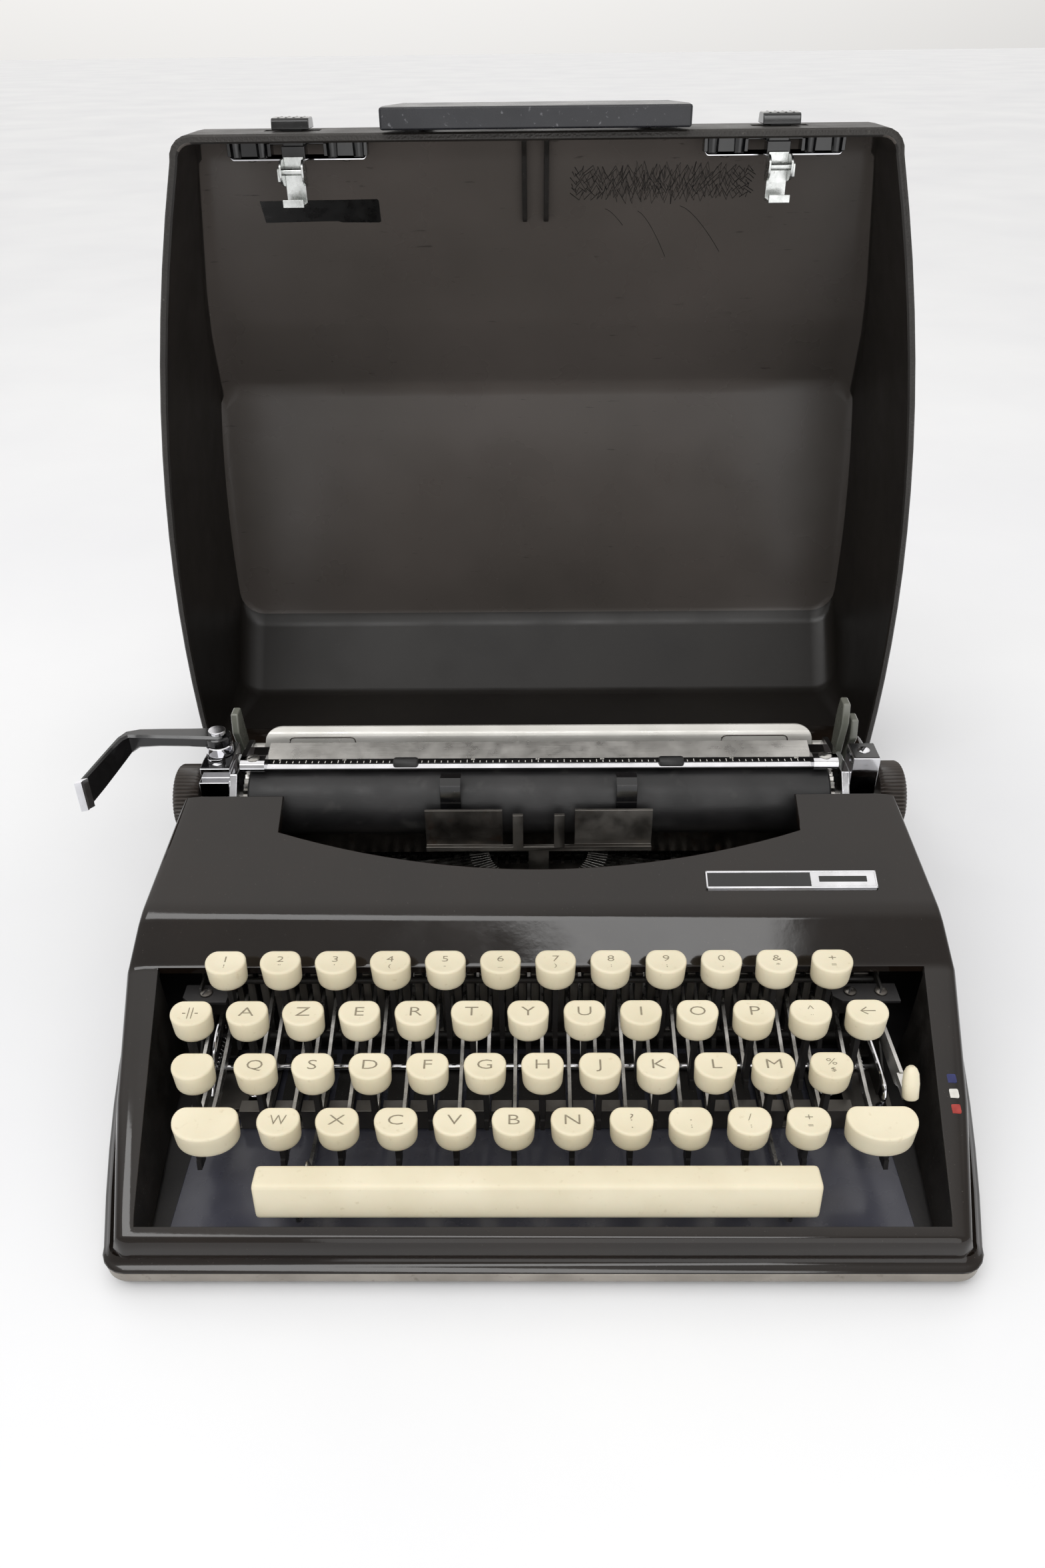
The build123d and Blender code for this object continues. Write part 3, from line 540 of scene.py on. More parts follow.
def make_light():
    """Plain studio light from the world and two soft lamps."""
    world = bpy.data.worlds.new("studio")
    world.use_nodes = True
    # an even pale room, brighter overhead and behind the machine
    tree = world.node_tree
    backdrop = tree.nodes["Background"]
    place = tree.nodes.new("ShaderNodeTexCoord")
    toward = tree.nodes.new("ShaderNodeVectorMath")
    toward.operation = "DOT_PRODUCT"
    toward.inputs[1].default_value = (-0.1, 0.55, 0.83)
    strength = tree.nodes.new("ShaderNodeMapRange")
    strength.interpolation_type = "SMOOTHSTEP"
    for name, number in (("From Min", 0.15), ("From Max", 0.95), ("To Min", ROOM), ("To Max", OVERHEAD)):
        strength.inputs[name].default_value = number
    tree.links.new(place.outputs["Generated"], toward.inputs[0])
    tree.links.new(toward.outputs["Value"], strength.inputs["Value"])
    tree.links.new(strength.outputs["Result"], backdrop.inputs["Strength"])
    backdrop.inputs["Color"].default_value = (1.0, 0.985, 0.965, 1.0)
    bpy.context.scene.world = world
    target = at(0, 180, 60)
    # name, place, the lamp's two sides in metres, and watts
    for name, place, size, power in (
        ("key", (-350, -700, 1500), (2.0, 0.35), 9.0),
        ("fill", (300, -1500, 600), (1.5, 1.5), 8.0),
    ):
        lamp = bpy.data.lights.new(name, "AREA")
        lamp.shape = "RECTANGLE"
        lamp.size, lamp.size_y = size
        lamp.energy = power
        holder = bpy.data.objects.new(name, lamp)
        holder.location = at(*place)
        holder.rotation_mode = "QUATERNION"
        holder.rotation_quaternion = (target - holder.location).to_track_quat("-Z", "Y")
        bpy.context.scene.collection.objects.link(holder)
    bpy.context.scene.view_settings.view_transform = "Standard"


make_camera()
make_floor()
make_light()

# ------------------------------------------------------------------ the case
CASE_DEPTH = 284.0
CASE_HALF_WIDTH = 172.0
SIDE_RADIUS = 772.0
WIDEST_Y = 225.0
LID_FOOT_Z = 9.1
LID_WALL = 3.2
HINGE_Y, HINGE_Z = 287.0, 8.0
HINGE_XS = (-95.0, 95.0)
HANDLE_PIVOT = (-4.0, 27.0)
LATCH_X = 95.0


def half_width(y, inset=0.0):
    """Half the case's width at a depth: its sides are shallow arcs, widest near the back."""
    return CASE_HALF_WIDTH - SIDE_RADIUS + sqrt(SIDE_RADIUS ** 2 - (y - WIDEST_Y) ** 2) - inset


def opened(point):
    """From the closed lid to the lid standing on its hinges."""
    x, y, z = point
    return (x, HINGE_Y + (z - HINGE_Z), HINGE_Z - (y - HINGE_Y))


def plan_ring(front, back, inset, corner, z, side_steps=14, corner_steps=5):
    """The bowed outline of the case between two depths, with round corners, at height z."""
    right = []
    for i in range(corner_steps + 1):
        turn = radians(-90 + 90 * i / corner_steps)
        y = front + corner + corner * sin(turn)
        right.append((half_width(front + corner, inset) - corner + corner * cos(turn), y))
    for i in range(1, side_steps):
        y = front + corner + (back - front - 2 * corner) * i / side_steps
        right.append((half_width(y, inset), y))
    for i in range(corner_steps + 1):
        turn = radians(90 * i / corner_steps)
        y = back - corner + corner * sin(turn)
        right.append((half_width(back - corner, inset) - corner + corner * cos(turn), y))
    left = [(-x, y) for x, y in reversed(right)]
    return [(x, y, z) for x, y in right + left]


# the lid's outline seen from the side, front and back, from the rim up
LID_FRONT = [(LID_FOOT_Z, 0.0), (41.0, 0.0), (49.0, 9.0), (90.0, 83.0), (110.6, 113.0), (112.9, 117.0)]
LID_BACK = [(LID_FOOT_Z, 284.0), (80.0, 284.0), (110.4, 255.0), (112.9, 250.0)]
LID_TOP = 114.0
# how far the inner skin's corners stand below and behind the outer skin's, as shares of the wall
SKIN_DROP = 0.9
SKIN_FRONT = 0.75
SKIN_BACK = 0.8


def lid_skin(inset):
    """Rings from the rim to the crown, for the outer skin or, pulled in, the inner one."""
    crease = 7.0 if inset == 0 else 3.0
    front = softened([(z - inset * SKIN_DROP, y + inset * SKIN_FRONT) for z, y in LID_FRONT], crease)
    back = softened([(z - inset * SKIN_DROP, y - inset * SKIN_BACK) for z, y in LID_BACK], crease)
    front[0], back[0] = (LID_FOOT_Z, LID_FRONT[0][1] + inset), (LID_FOOT_Z, LID_BACK[0][1] - inset)
    levels = sorted({round(z, 3) for z, _ in front + back})
    rings = []
    edge = 0.7
    for z in levels:
        y0, y1 = between(front, z), between(back, z)
        corner = (9.0 - inset * 0.8) + min(6.0, max(0.0, (z - 45) * 0.3))
        if z == levels[0]:
            turn_in = edge if inset == 0 else -edge
            rings.append(plan_ring(y0 + turn_in, y1 - turn_in, inset + turn_in, corner, z))
            z += edge
        rings.append(plan_ring(y0, y1, inset, corner, z))
    y0, y1, top = between(front, 999), between(back, 999), LID_TOP - inset
    for rise, pull in ((0.5, 8.0), (0.85, 26.0), (1.0, 52.0)):
        z = levels[-1] + (top - levels[-1]) * rise
        rings.append(plan_ring(y0 + pull * 0.8, y1 - pull * 0.3, inset + pull * 0.12, 15.0, z))
    return rings


def make_lid():
    """The lid as two skins joined at the rim, with its ribs, hinges, handle lugs and label."""
    shape = Shape()
    outer, inner = lid_skin(0.0), lid_skin(LID_WALL)
    count = len(outer[0])
    shape.rings(outer, 0, ends=False)
    first_inner = len(shape.points)
    shape.rings(inner, 1, ends=False)
    faces = [(i, (i + 1) % count, first_inner + (i + 1) % count, first_inner + i) for i in range(count)]
    faces.append(tuple((len(outer) - 1) * count + i for i in range(count)))
    faces.append(tuple(first_inner + (len(inner) - 1) * count + i for i in range(count)))
    shape.faces += faces
    shape.tones += [0] * (count + 1) + [1]
    # slots that the latches pass through
    body = loose(shape, "lid_body")
    for look in ("case_grain", "case_inside"):
        body.data.materials.append(LOOKS[look])
    for side in (-1, 1):
        slot = Shape().block(side * LATCH_X - 11, side * LATCH_X + 11, -6, LID_WALL + 4, 21.5, 28.5)
        cut(body, loose(slot, "slot"))
    mesh = body.data
    bpy.data.objects.remove(body)
    for vertex in mesh.vertices:
        x, y, z = vertex.co / MM
        vertex.co = at(*opened((x, y + BASE_MIDDLE_Y, z)))
    join_flat_faces(mesh)
    looks = [face.material_index for face in mesh.polygons]
    mesh.materials.clear()
    # inside, the walls and the part behind the last crease take the darker copy with painted shade; the broad
    # panels take the lighter copy with painted reflection
    for i, face in enumerate(mesh.polygons):
        if looks[i] == 1 and (abs(face.normal.x) > 0.6 or face.normal.z > 0.35 or face.normal.z < -0.7):
            looks[i] = 2
    made = finish_piece(mesh, "case_lid_shell", "lid",
                        ("case_grain", "case_inside", "inner_lid_painted_shade"), 0.0, ("case_lid",), 40)
    for face, look in zip(made.data.polygons, looks):
        face.material_index = look

    fittings = Shape()
    # two ribs inside the front wall
    for x in (-4.6, 4.6):
        rib = [(LID_WALL - 0.4, 35), (5.5, 35.5), (11, 42.6), (36.5, 56.8), (38, 58.8), (38, 62.5)]
        rib += [(30, 60), (LID_WALL - 0.4, 44)]
        fittings.plate(softened(rib, 1.5, 3), x - 1, x + 1)
    fittings.piece("lid_ribs", "lid", "case_plastic", ("well_dull",), 0.35, turn=opened)

    hinge = Shape()
    for x in HINGE_XS:
        for x0 in (x - 11.5, x + 6.5):
            leaf = [(283.3, LID_FOOT_Z), (285.6, LID_FOOT_Z), (285.6, 24), (283.3, 24)]
            hinge.plate(leaf, x0, x0 + 5)
            hinge.plate([(284.8, 8), (287, 8), (286.8, 11), (284.8, 11)], x0, x0 + 5)
            hinge.roller(x0, x0 + 5, 2.6, (HINGE_Y, HINGE_Z))
            hinge.screw(x0 + 2.5, 283.2, 18.5, 1.7, "-y", 0, 1)
    hinge.piece("lid_hinges", "lid", "case_plastic", ("frame_steel", "pan_dark"), 0.2, turn=opened)

    lugs = Shape()
    for side in (-1, 1):
        x0, x1 = across(side, 40, 45.5)
        lugs.roller(x0, x1, 2.6, HANDLE_PIVOT, steps=24)
        lugs.block(x0, x1, -4, 1, 24.4, 29.6)
        lugs.turned([(x, 1.5) for x in across(side, 45, 50)], "x", HANDLE_PIVOT, 1, 16)
    lugs.piece("handle_lugs", "lid", "case_plastic", ("case_grain", "lever_steel"), 0.3, turn=opened)

    # a blank label and a scribbled patch, on the inside of the sloping front
    (slope_foot_z, slope_foot_y), (slope_head_z, slope_head_y) = LID_FRONT[2:4]
    slope = (slope_head_y - slope_foot_y) / (slope_head_z - slope_foot_z)

    def slope_z(y):
        return slope_foot_z - LID_WALL * SKIN_DROP + (y - slope_foot_y - LID_WALL * SKIN_FRONT) / slope

    label = Shape()
    outline = [(-118, 28.4), (-67.6, 28.0), (-67.0, 28.8), (-67.2, 37.2), (-68, 37.7), (-84, 37.5)]
    outline += [(-86, 36.9), (-117.4, 37.4)]
    rings = [[(x, y + lift * 0.5, slope_z(y) - lift * 0.87) for x, y in outline] for lift in (-0.5, 0.12)]
    label.rings(rings)
    label.piece("blank_label", "lid", "case_plastic", ("dark_label",), turn=opened)

    scribble = Shape()
    draw = random.Random(5)
    for stroke in range(9):
        path = []
        y = 17.5 + stroke * 1.25
        for i in range(46):
            x = 16 + i * 1.66 + draw.uniform(-1.5, 1.5)
            reach = 1.2 + 2.6 * sin(pi * min(1.0, max(0.0, (x - 12) / 80)))
            here = y + (reach if i % 2 else -reach) * draw.uniform(0.5, 1.0)
            path.append((x, here, slope_z(here) - 0.02))
        scribble.wire(path, 0.2, 0, 4)
    for start, end in (((44, 34), (58, 54)), ((62, 32), (82, 52)), ((30, 33), (38, 40))):
        path = []
        for i in range(9):
            t = i / 8
            x, here = start[0] + (end[0] - start[0]) * t, start[1] + (end[1] - start[1]) * t ** 1.4
            path.append((x, here, slope_z(here) - 0.02))
        scribble.wire(path, 0.12, 0, 4)
    scribble.piece("scribbled_patch", "lid", "case_plastic", ("worn_residue",), turn=opened)


def make_latches():
    """Each latch's button and hook, and the bars inside the lid that hold them."""
    for side, name in ((-1, "latch_left"), (1, "latch_right")):
        x = side * LATCH_X
        latch = Shape()
        button = softened([(-0.6, 19.0), (-4.5, 20.2), (-4.5, 29.8), (-0.6, 31.0)], 1.2, 3)
        latch.plate(button, x - 7.3, x + 7.3)
        for i in range(4):
            latch.block(x - 5 + i * 3.0, x - 4 + i * 3.0, -4.7, -4.2, 21, 29)
        latch.block(x - 4, x + 4, -2, 10, 22, 28)
        latch.block(x - 4.6, x + 4.6, 5, 10.4, 20.6, 28.0)
        latch.piece(name + "_slide", name, "chrome_plate", ("black_gloss",), 0.35, (name,), turn=opened)
        hook = Shape()
        plan = softened([(x - 3.9, 8.6), (x - 3.9, 25.5), (x + 3.9, 25.5), (x + 3.9, 8.6)], 1.0, 2)
        hook.slab(plan, 19.2, 20.2)
        hook.block(x - 4.1, x + 4.1, 24.6, 25.5, 9.6, 20)
        hook.block(x - 4.1, x + 4.1, 22.6, 25.4, 9.4, 10.4)
        for edge in (-1, 1):
            ear = [(9.2, 20.4), (9.2, 14.0), (11.5, 11.6), (16, 12.0), (18.5, 15.5), (19, 20.4)]
            hook.plate(softened(ear, 2.2), x + edge * 4.3 - 0.45, x + edge * 4.3 + 0.45)
        tab = softened([(12.4, 20.6), (12.4, 18.2), (17.6, 18.2), (17.6, 20.6)], 1.0, 2)
        hook.plate(tab, x + side * 5.6 - 1.2, x + side * 5.6 + 1.2)
        hook.roller(x - 4.9, x + 4.9, 1.3, (13.5, 15.5), (0.1, 0.4), 0, 16)
        hook.piece(name + "_hook", name, "chrome_plate", ("latch_zinc",), 0.2, turn=opened)
    housing = Shape()
    for side in (-1, 1):
        x = side * LATCH_X
        for x0, x1 in ((x - 28, x - 10.5), (x + 10.5, x + 28)):
            housing.block(x0, x1, LID_WALL - 0.4, 9.4, 29.5, 35.5)
            for post_x in (x0 + 3.5, x1 - 3.5):
                housing.turned([(LID_WALL, 2.6), (9.6, 2.4), (9.9, 2.0)], "y", (post_x, 30.6), 0, 18)
        housing.block(x - 12, x + 12, LID_WALL - 0.4, 5.2, 29.5, 35.5)
        bar = softened([(x - 27.5, 9.3), (x - 26.6, 10.9), (x + 26.6, 10.9), (x + 27.5, 9.3)], 1.2, 3)
        under = [(u, v - 0.7) for u, v in reversed(bar)]
        housing.slab(bar + under, 30.2, 35.9, 1)
        for u in (-19, 19):
            housing.turned([(10.8, 1.7), (11.3, 1.7), (11.5, 1.3)], "y", (x + u, 33.0), 2, 18)
    housing.piece("latch_bars", "lid", "black_plastic", ("black_gloss", "chrome", "frame_steel"), 0.2,
                  ("latch_housings",), turn=opened)


make_lid()
rounded_copy("carry_handle", "grip", ("handle_plastic",), 0.9)
make_latches()

# ------------------------------------------------------------------ base tray
TRAY_NARROW = 0.984


def tray_look(x, y, z, normal):
    """Dark for the pan's floor and underside, bright for the strip round it."""
    return 1 if (normal.z > 0.9 and z < 6.0) or z < 2.0 else 0


rounded_copy("base_tray", "tray", ("tray_strip", "pan_dark"), 0.5, tray_look, TRAY_NARROW)
wear("rubber_pads", "soft_rubber")
rounded_copy("floor_plate", "well_floor", ("floor_paint",), 0.25)

# ------------------------------------------------------------------ body shell
WELL_BACK_Y = 92.0
# the cover's height along its middle line, from the front lip to its rear edge, then the rear deck's,
# and half of each one's width at its top
COVER_LIP = [(3.4, 9.2), (3.55, 12.0), (3.9, 15.4), (5.0, 17.8)]
BROW_Y, BROW_Z = 108.6, 65.4
COVER_REAR_Y, COVER_REAR_Z = 153.0, 84.0
COVER_TOP = COVER_LIP + [(48.0, 33.5), (92.0, 50.0), (104.6, 62.8)]
COVER_TOP += [(BROW_Y, BROW_Z), (COVER_REAR_Y, COVER_REAR_Z)]
BROW_SLOPE = (COVER_REAR_Z - BROW_Z) / (COVER_REAR_Y - BROW_Y)
COVER_HALF = [(3.8, 133.0), (48.0, 141.2), (92.0, 147.4), (105.0, 144.2), (153.0, 135.5)]
DECK_TOP = [(153.02, 50.0), (205.0, 50.0), (255.0, 48.0), (272.0, 42.0), (279.8, 30.0)]
DECK_HALF = [(153.02, 152.0), (205.0, 154.0), (255.0, 152.0), (272.0, 146.0), (279.8, 138.0)]
SHELL_INSET = 3.8
# the flange round the shell's foot: how far in from the case's front and from its side, and the height
SEAT_PROFILE = [
    (0.3, 2.2, 7.05), (0.0, 1.9, 7.3), (0.1, 1.95, 7.8), (0.7, 2.3, 8.2), (1.6, 2.8, 8.6),
    (2.6, 3.25, 9.1), (3.3, 3.7, 9.8), (3.9, 4.4, 10.4), (6.2, 6.2, 9.0), (6.2, 6.2, 7.05),
]
SHELL_WALL = 2.5
PLATE_LEFT = 60.8


def shell_ring(y, top, half, wall):
    """The shell's section at a depth: up from the foot, round the shoulder and over; wall pulls it in."""
    foot = half_width(y, SHELL_INSET)
    if y > 260:
        foot -= (y - 260) ** 2 / 28
    round_in = max(0.0, 1 - (y - 3.4) / 5.0) ** 2 * 3.5
    foot, half, top = foot - wall - round_in, half - wall - round_in, top - wall
    low = 7.0
    corner = softened([(foot, low), (half + 0.3, top - 0.6), (half - 6, top)], 4.2 - wall * 0.6, 6)
    return [(x, y, z) for x, z in corner] + [(-x, y, z) for x, z in reversed(corner)]


def shell_rings():
    rings = []
    for y, top in softened(COVER_TOP, 1.6, 3):
        rings.append(shell_ring(y, top, between(COVER_HALF, y), 0.0))
    for y, top in softened(DECK_TOP, 4.0, 3):
        rings.append(shell_ring(y, top, between(DECK_HALF, y), 0.0))
    return rings


def hollow_rings():
    """The space under the shell's skin, open below."""
    rings = []
    cover = [(6.2, 18.0)] + COVER_TOP[4:-1] + [(155.5, 84.0)]
    deck = [(155.52, 50.0)] + DECK_TOP[1:3] + [(269.5, 42.0), (277.0, 31.0)]
    for tops, halves in ((cover, COVER_HALF), (deck, DECK_HALF)):
        for y, top in tops:
            ring = shell_ring(y, top, between(halves, y), SHELL_WALL)
            rings.append([(x, y, z if z > 7.1 else 2.0) for x, y, z in ring])
    return rings


def well_tube(grow, z0, z1, back=WELL_BACK_Y, lean=6.0):
    """The space of the keyboard well; its side walls lean in towards the floor."""
    rings = []
    for z in (z0, 20.0, z1):
        pull = lean * max(0.0, min(1.0, (30.0 - z) / 25.0)) - grow
        front, rear = 130.0 - pull, 138.0 - pull
        y0, y1 = 8.5 - grow, back + grow
        rings.append([(-front, y0, z), (front, y0, z), (rear, y1, z), (-rear, y1, z)])
    return rings


def ease_rims(made, width, lowest):
    """Rounds the edges above a height where an upward face meets a wall."""
    work = bmesh.new()
    work.from_mesh(made.data)
    weight = work.edges.layers.float.new("bevel_weight_edge")
    for edge in work.edges:
        if len(edge.link_faces) != 2 or not edge.is_convex or edge.calc_face_angle() < radians(30):
            continue
        high = min(vertex.co.z for vertex in edge.verts) > lowest * MM
        if high and max(face.normal.z for face in edge.link_faces) > 0.3 and edge.calc_length() > 0.8 * MM:
            edge[weight] = 1.0
    work.to_mesh(made.data)
    work.free()
    round_off = made.modifiers.new("rims", "BEVEL")
    round_off.width = width * MM
    round_off.segments = 2
    round_off.limit_method = "WEIGHT"
    round_off.use_clamp_overlap = False
    round_off.harden_normals = True


def make_shell():
    """The machine's cover, hollowed and cut open, with its foot flange, dots and name plate."""
    shell = loose(Shape().rings(shell_rings()), "shell")
    hollow = loose(Shape().rings(hollow_rings()), "hollow")
    cut(hollow, loose(Shape().rings(well_tube(1.8, -1.0, 95.0, WELL_BACK_Y - 3.0)), "liner"))
    cut(shell, hollow)
    cut(shell, loose(Shape().rings(well_tube(0.0, -2.0, 96.0)), "well"))
    smile = []
    for i in range(25):
        x = -98 + 196 * i / 24
        smile.append((x, 122.0 + 15.0 * (x / 98) ** 2))
    smile += [(98, 156), (-98, 156)]
    cut(shell, loose(Shape().slab(smile, 55, 96), "smile"))
    cut(shell, loose(Shape().block(-133, 133, 146, 157, 51, 80.3), "step"))
    cut(shell, loose(Shape().block(-128, 128, 145, 212, 44, 60), "deck"))
    cut(shell, loose(Shape().block(-141, 141, 151.9, 157, 50.6, 96), "carriage_gap"))
    mesh = shell.data
    bpy.data.objects.remove(shell)
    mesh.materials.clear()
    join_flat_faces(mesh)
    looks = ("shell_gloss", "well_dull")
    made = finish_piece(mesh, "shell_cover", "base", looks, 0.0, ("body_shell",), 26)
    ease_rims(made, 0.45, 12.0)
    for face in made.data.polygons:
        x, y, z = face.center / MM
        y += BASE_MIDDLE_Y
        in_well = abs(x) < 139.5 and 8 < y < 92.2
        if in_well and face.normal.z < 0.5 and (face.normal.x * x < 0 or y < 12):
            face.material_index = 1
    rings = [plan_ring(front, CASE_DEPTH - front, side, 9.0 - front, z) for front, side, z in SEAT_PROFILE]
    seat = Shape().rings(rings + rings[:1], ends=False)
    seat.piece("shell_seat", "base", "shell", ("shell_gloss",), 0.0, smooth=40)

    # three coloured dots beside the ribbon selector
    spot = softened([(-1.5, -1.4), (1.5, -1.4), (1.5, 1.4), (-1.5, 1.4), (-1.5, -1.4)], 0.5, 2)[:-1]
    marks = Shape()
    for i, (x, y) in enumerate(((137.5, 53.3), (137.2, 48.5), (136.8, 43.6))):
        rings = []
        for lift in (-0.3, 0.08):
            rings.append([(x + u, y + v, 33.5 + (y + v - 48) * 0.375 + lift) for u, v in spot])
        marks.rings(rings, i)
    marks.piece("ribbon_marks", "base", "bright_trim", ("mark_blue", "mark_white", "mark_red"))

    # a name plate without lettering: a dark field in a bright rim, and a bright block with a dark bar
    plate = Shape()
    for x0, x1, y0, y1, low, high, look in (
        (0.5, 61.5, 113.6, 119.6, -0.3, 0.9, 0),
        (0, 62, 113.3, 114.0, -0.3, 1.2, 1),
        (0, 62, 119.3, 119.9, -0.3, 1.2, 1),
        (0, 0.6, 113.3, 119.9, -0.3, 1.2, 1),
        (61.4, 62, 113.3, 119.9, -0.3, 1.2, 1),
        (38, 61.4, 114.0, 119.3, 0.5, 1.15, 1),
        (41, 58.4, 115.6, 117.8, 1.0, 1.25, 0),
    ):
        rings = []
        for lift in (low, high):
            corners = ((x0, y0), (x1, y0), (x1, y1), (x0, y1))
            rings.append([(PLATE_LEFT + x, y, BROW_Z + BROW_SLOPE * (y - BROW_Y) + lift) for x, y in corners])
        plate.rings(rings, look)
    plate.piece("name_plate_blank", "base", "bright_trim", ("black_gloss", "chrome"), 0.12, ("badge",))


make_shell()

# ------------------------------------------------------------------ machine frame and type basket
rounded_copy("mech_frame", "machine_frame", ("frame_steel",), 0.25)
rounded_copy("type_segment", "segment", ("lever_steel",), 0.12)
wear("typebars", "lever_steel")
wear("ball_cage", "lever_steel")
rounded_copy("ribbon_guide", "ribbon_vibrator", ("frame_steel",), 0.15)
for spool_name in ("ribbon_spool_left", "ribbon_spool_right"):
    rounded_copy(spool_name, spool_name + "_turned", ("spool_paint",), 0.25)

KEY_PITCH = 19.0
FIRST_KEY_X = -108.5
LEVER_TOP = [(44.0, 20.0), (60.0, 21.5), (76.0, 25.0), (94.0, 30.0), (130.0, 39.0), (200.0, 30.5)]
FULCRUM_Y, FULCRUM_Z = 235.0, 22.0
ROW_SHIFT = (0.0, 0.5, 0.75, 1.25)


KEYS_IN_ROW = (12, 11, 11, 10)
FITTINGS_EDGE = 121.9


def key_x(row, column):
    return FIRST_KEY_X + KEY_PITCH * (ROW_SHIFT[row] + column)


def lever_xs(*rows):
    return sorted(key_x(row, column) for row in rows for column in range(KEYS_IN_ROW[row]))


def make_frame_details():
    shape = Shape()
    # slotted guide that the lower levers pass through, with its floor bar
    edges = [-106.5] + lever_xs(2, 3) + [110.0]
    shape.block(edges[0], edges[-1], 57.5, 61.5, 5.2, 6.0)
    for left, right in zip(edges, edges[1:]):
        if right - left > 3:
            shape.block(left + 1.1, right - 1.1, 57.0, 62.0, 5.9, 15.0)
            shape.block(left + 1.1, right - 1.1, 62.0, 90.0, 7.2, 8.0, 2)
    # bright cross rods
    for y, z, radius, look in ((82.0, 9.9, 1.3, 1), (93.5, 14.4, 1.5, 2), (96.0, 40.0, 1.2, 2)):
        shape.turned([(-121.8, radius), (121.8, radius)], "x", (y, z), look, 14)
    # brackets and their screws at the two ends
    for side in (-1, 1):
        bracket = [(70, 6), (96, 6), (96, 44), (88, 44), (78, 26), (70, 20)]
        shape.plate(bracket, *across(side, 121.0, FITTINGS_EDGE), 2)
        shape.block(*across(side, 112, FITTINGS_EDGE), 84, 96, 12.3, 13.5, 2)
        shape.block(*across(side, 98, FITTINGS_EDGE), 64, 84, 5.5, 8.0)
        shape.screw(side * 117, 88, 13.5, 2.4, "z", 1, 3, 0.5)
        shape.screw(side * 103.5, 72, 8.0, 3.0, "z", 1, 3, 0.9)
    for x0, x1, screws in ((-127.5, -111.4, (-119.5,)), (104.0, 127.5, (110.5, 121.5))):
        plan = [(x0, 91.8), (x1, 91.8), (x1, 83.0), (x0 + 3.0, 83.0), (x0, 85.5)]
        shape.slab(plan, 40.8, 42.0, 3)
        shape.block(x0 + 2, x1 - 2, 90.6, 91.8, 28, 41.0, 2)
        for x in screws:
            shape.screw(x, 87.6, 42.0, 2.3, "z", 0, 3, 1.1)
    # bright cranked wires beside the outer levers
    hook = [(-114.6, y, z) for y, z in ((80, 34), (74, 33), (69, 30), (66, 25), (64, 21), (60, 19))]
    shape.wire(softened(hook, 4), 0.75, 1)
    crank = [(115.4, 86, 33), (116.2, 76, 31), (117.2, 64, 29), (117.8, 57, 27)]
    crank += [(117.2, 54, 23), (116.2, 56, 19)]
    shape.wire(softened(crank, 3), 0.9, 1)
    # small coil springs on hooks beside the margin and backspace levers
    for x, y0 in ((-118.3, 78.0), (116.6, 76.0)):
        coil = []
        for i in range(97):
            turn = 2 * pi * i / 12
            coil.append((x + 0.8 * cos(turn), y0 + i * 0.16, 14.0 + 0.8 * sin(turn)))
        shape.wire(coil, 0.28, 1, 6)
        shape.wire([(x, y0 + 15.5, 15.5), (x, y0 + 17.5, 15.5), (x, y0 + 18.5, 17.0)], 0.3, 1, 6)
    looks = ("frame_steel", "chrome", "well_dull", "pan_dark")
    shape.piece("frame_fittings", "base", "frame_steel", looks, 0.15)


make_frame_details()

# ------------------------------------------------------------------ keys
CAP_WIDTH = 14.1
CAP_DEPTH = 10.8
CAP_HEIGHT = 9.2
CAP_REAR = 4.9
DISH = 30.0
LEAN = radians(4)
SHOULDER = 4.3
SHIFT_DEPTH = 13.0
WIDE_CAP = 16.0
# how far a cap's wall draws in towards its foot, and the height above the foot
CAP_FOOT = ((2.4, 0.0), (1.5, 0.05), (0.95, 0.3), (0.6, 0.8), (0.4, 1.5), (0.3, 2.8))

# how far in from the wall, and how far under the dish, the cap's edge and top run
CAP_SHOULDER = ((0.0, 1.0), (0.06, 0.6), (0.24, 0.24), (0.55, 0.06), (0.95, 0.0), (1.6, 0.0),
                (2.4, 0.0), (3.2, 0.0), (4.0, 0.0), (4.6, 0.0))


def row_y(row):
    return 82.3 - 15.8 * row


def row_z(row):
    return 62.0 - 8.35 * row


def dish_at(x, y, half):
    """Height of the dished top of a cap."""
    hollow = DISH * cos(LEAN) - sqrt(DISH ** 2 - (y + DISH * sin(LEAN)) ** 2)
    return hollow + 0.25 * (x / half) ** 2


def cap_outline(width, depth):
    """A flattened back with wide round corners and a broad elliptical front."""
    half, shoulder = width / 2, depth / 2 - SHOULDER
    corner_x, flat = 3.9, half - 3.9
    line = []
    for i in range(25):
        turn = pi * i / 24
        line.append((half * cos(turn), shoulder - (depth - SHOULDER) * sin(turn)))
    rear = []
    for i in range(1, 9):
        turn = pi / 2 * i / 8
        rear.append((flat + corner_x * cos(turn), shoulder + SHOULDER * sin(turn) ** 0.9))
    rear = [(u, v - 0.25 * (u / half) ** 2) for u, v in rear]
    return line + [(-u, v) for u, v in rear] + rear[::-1]


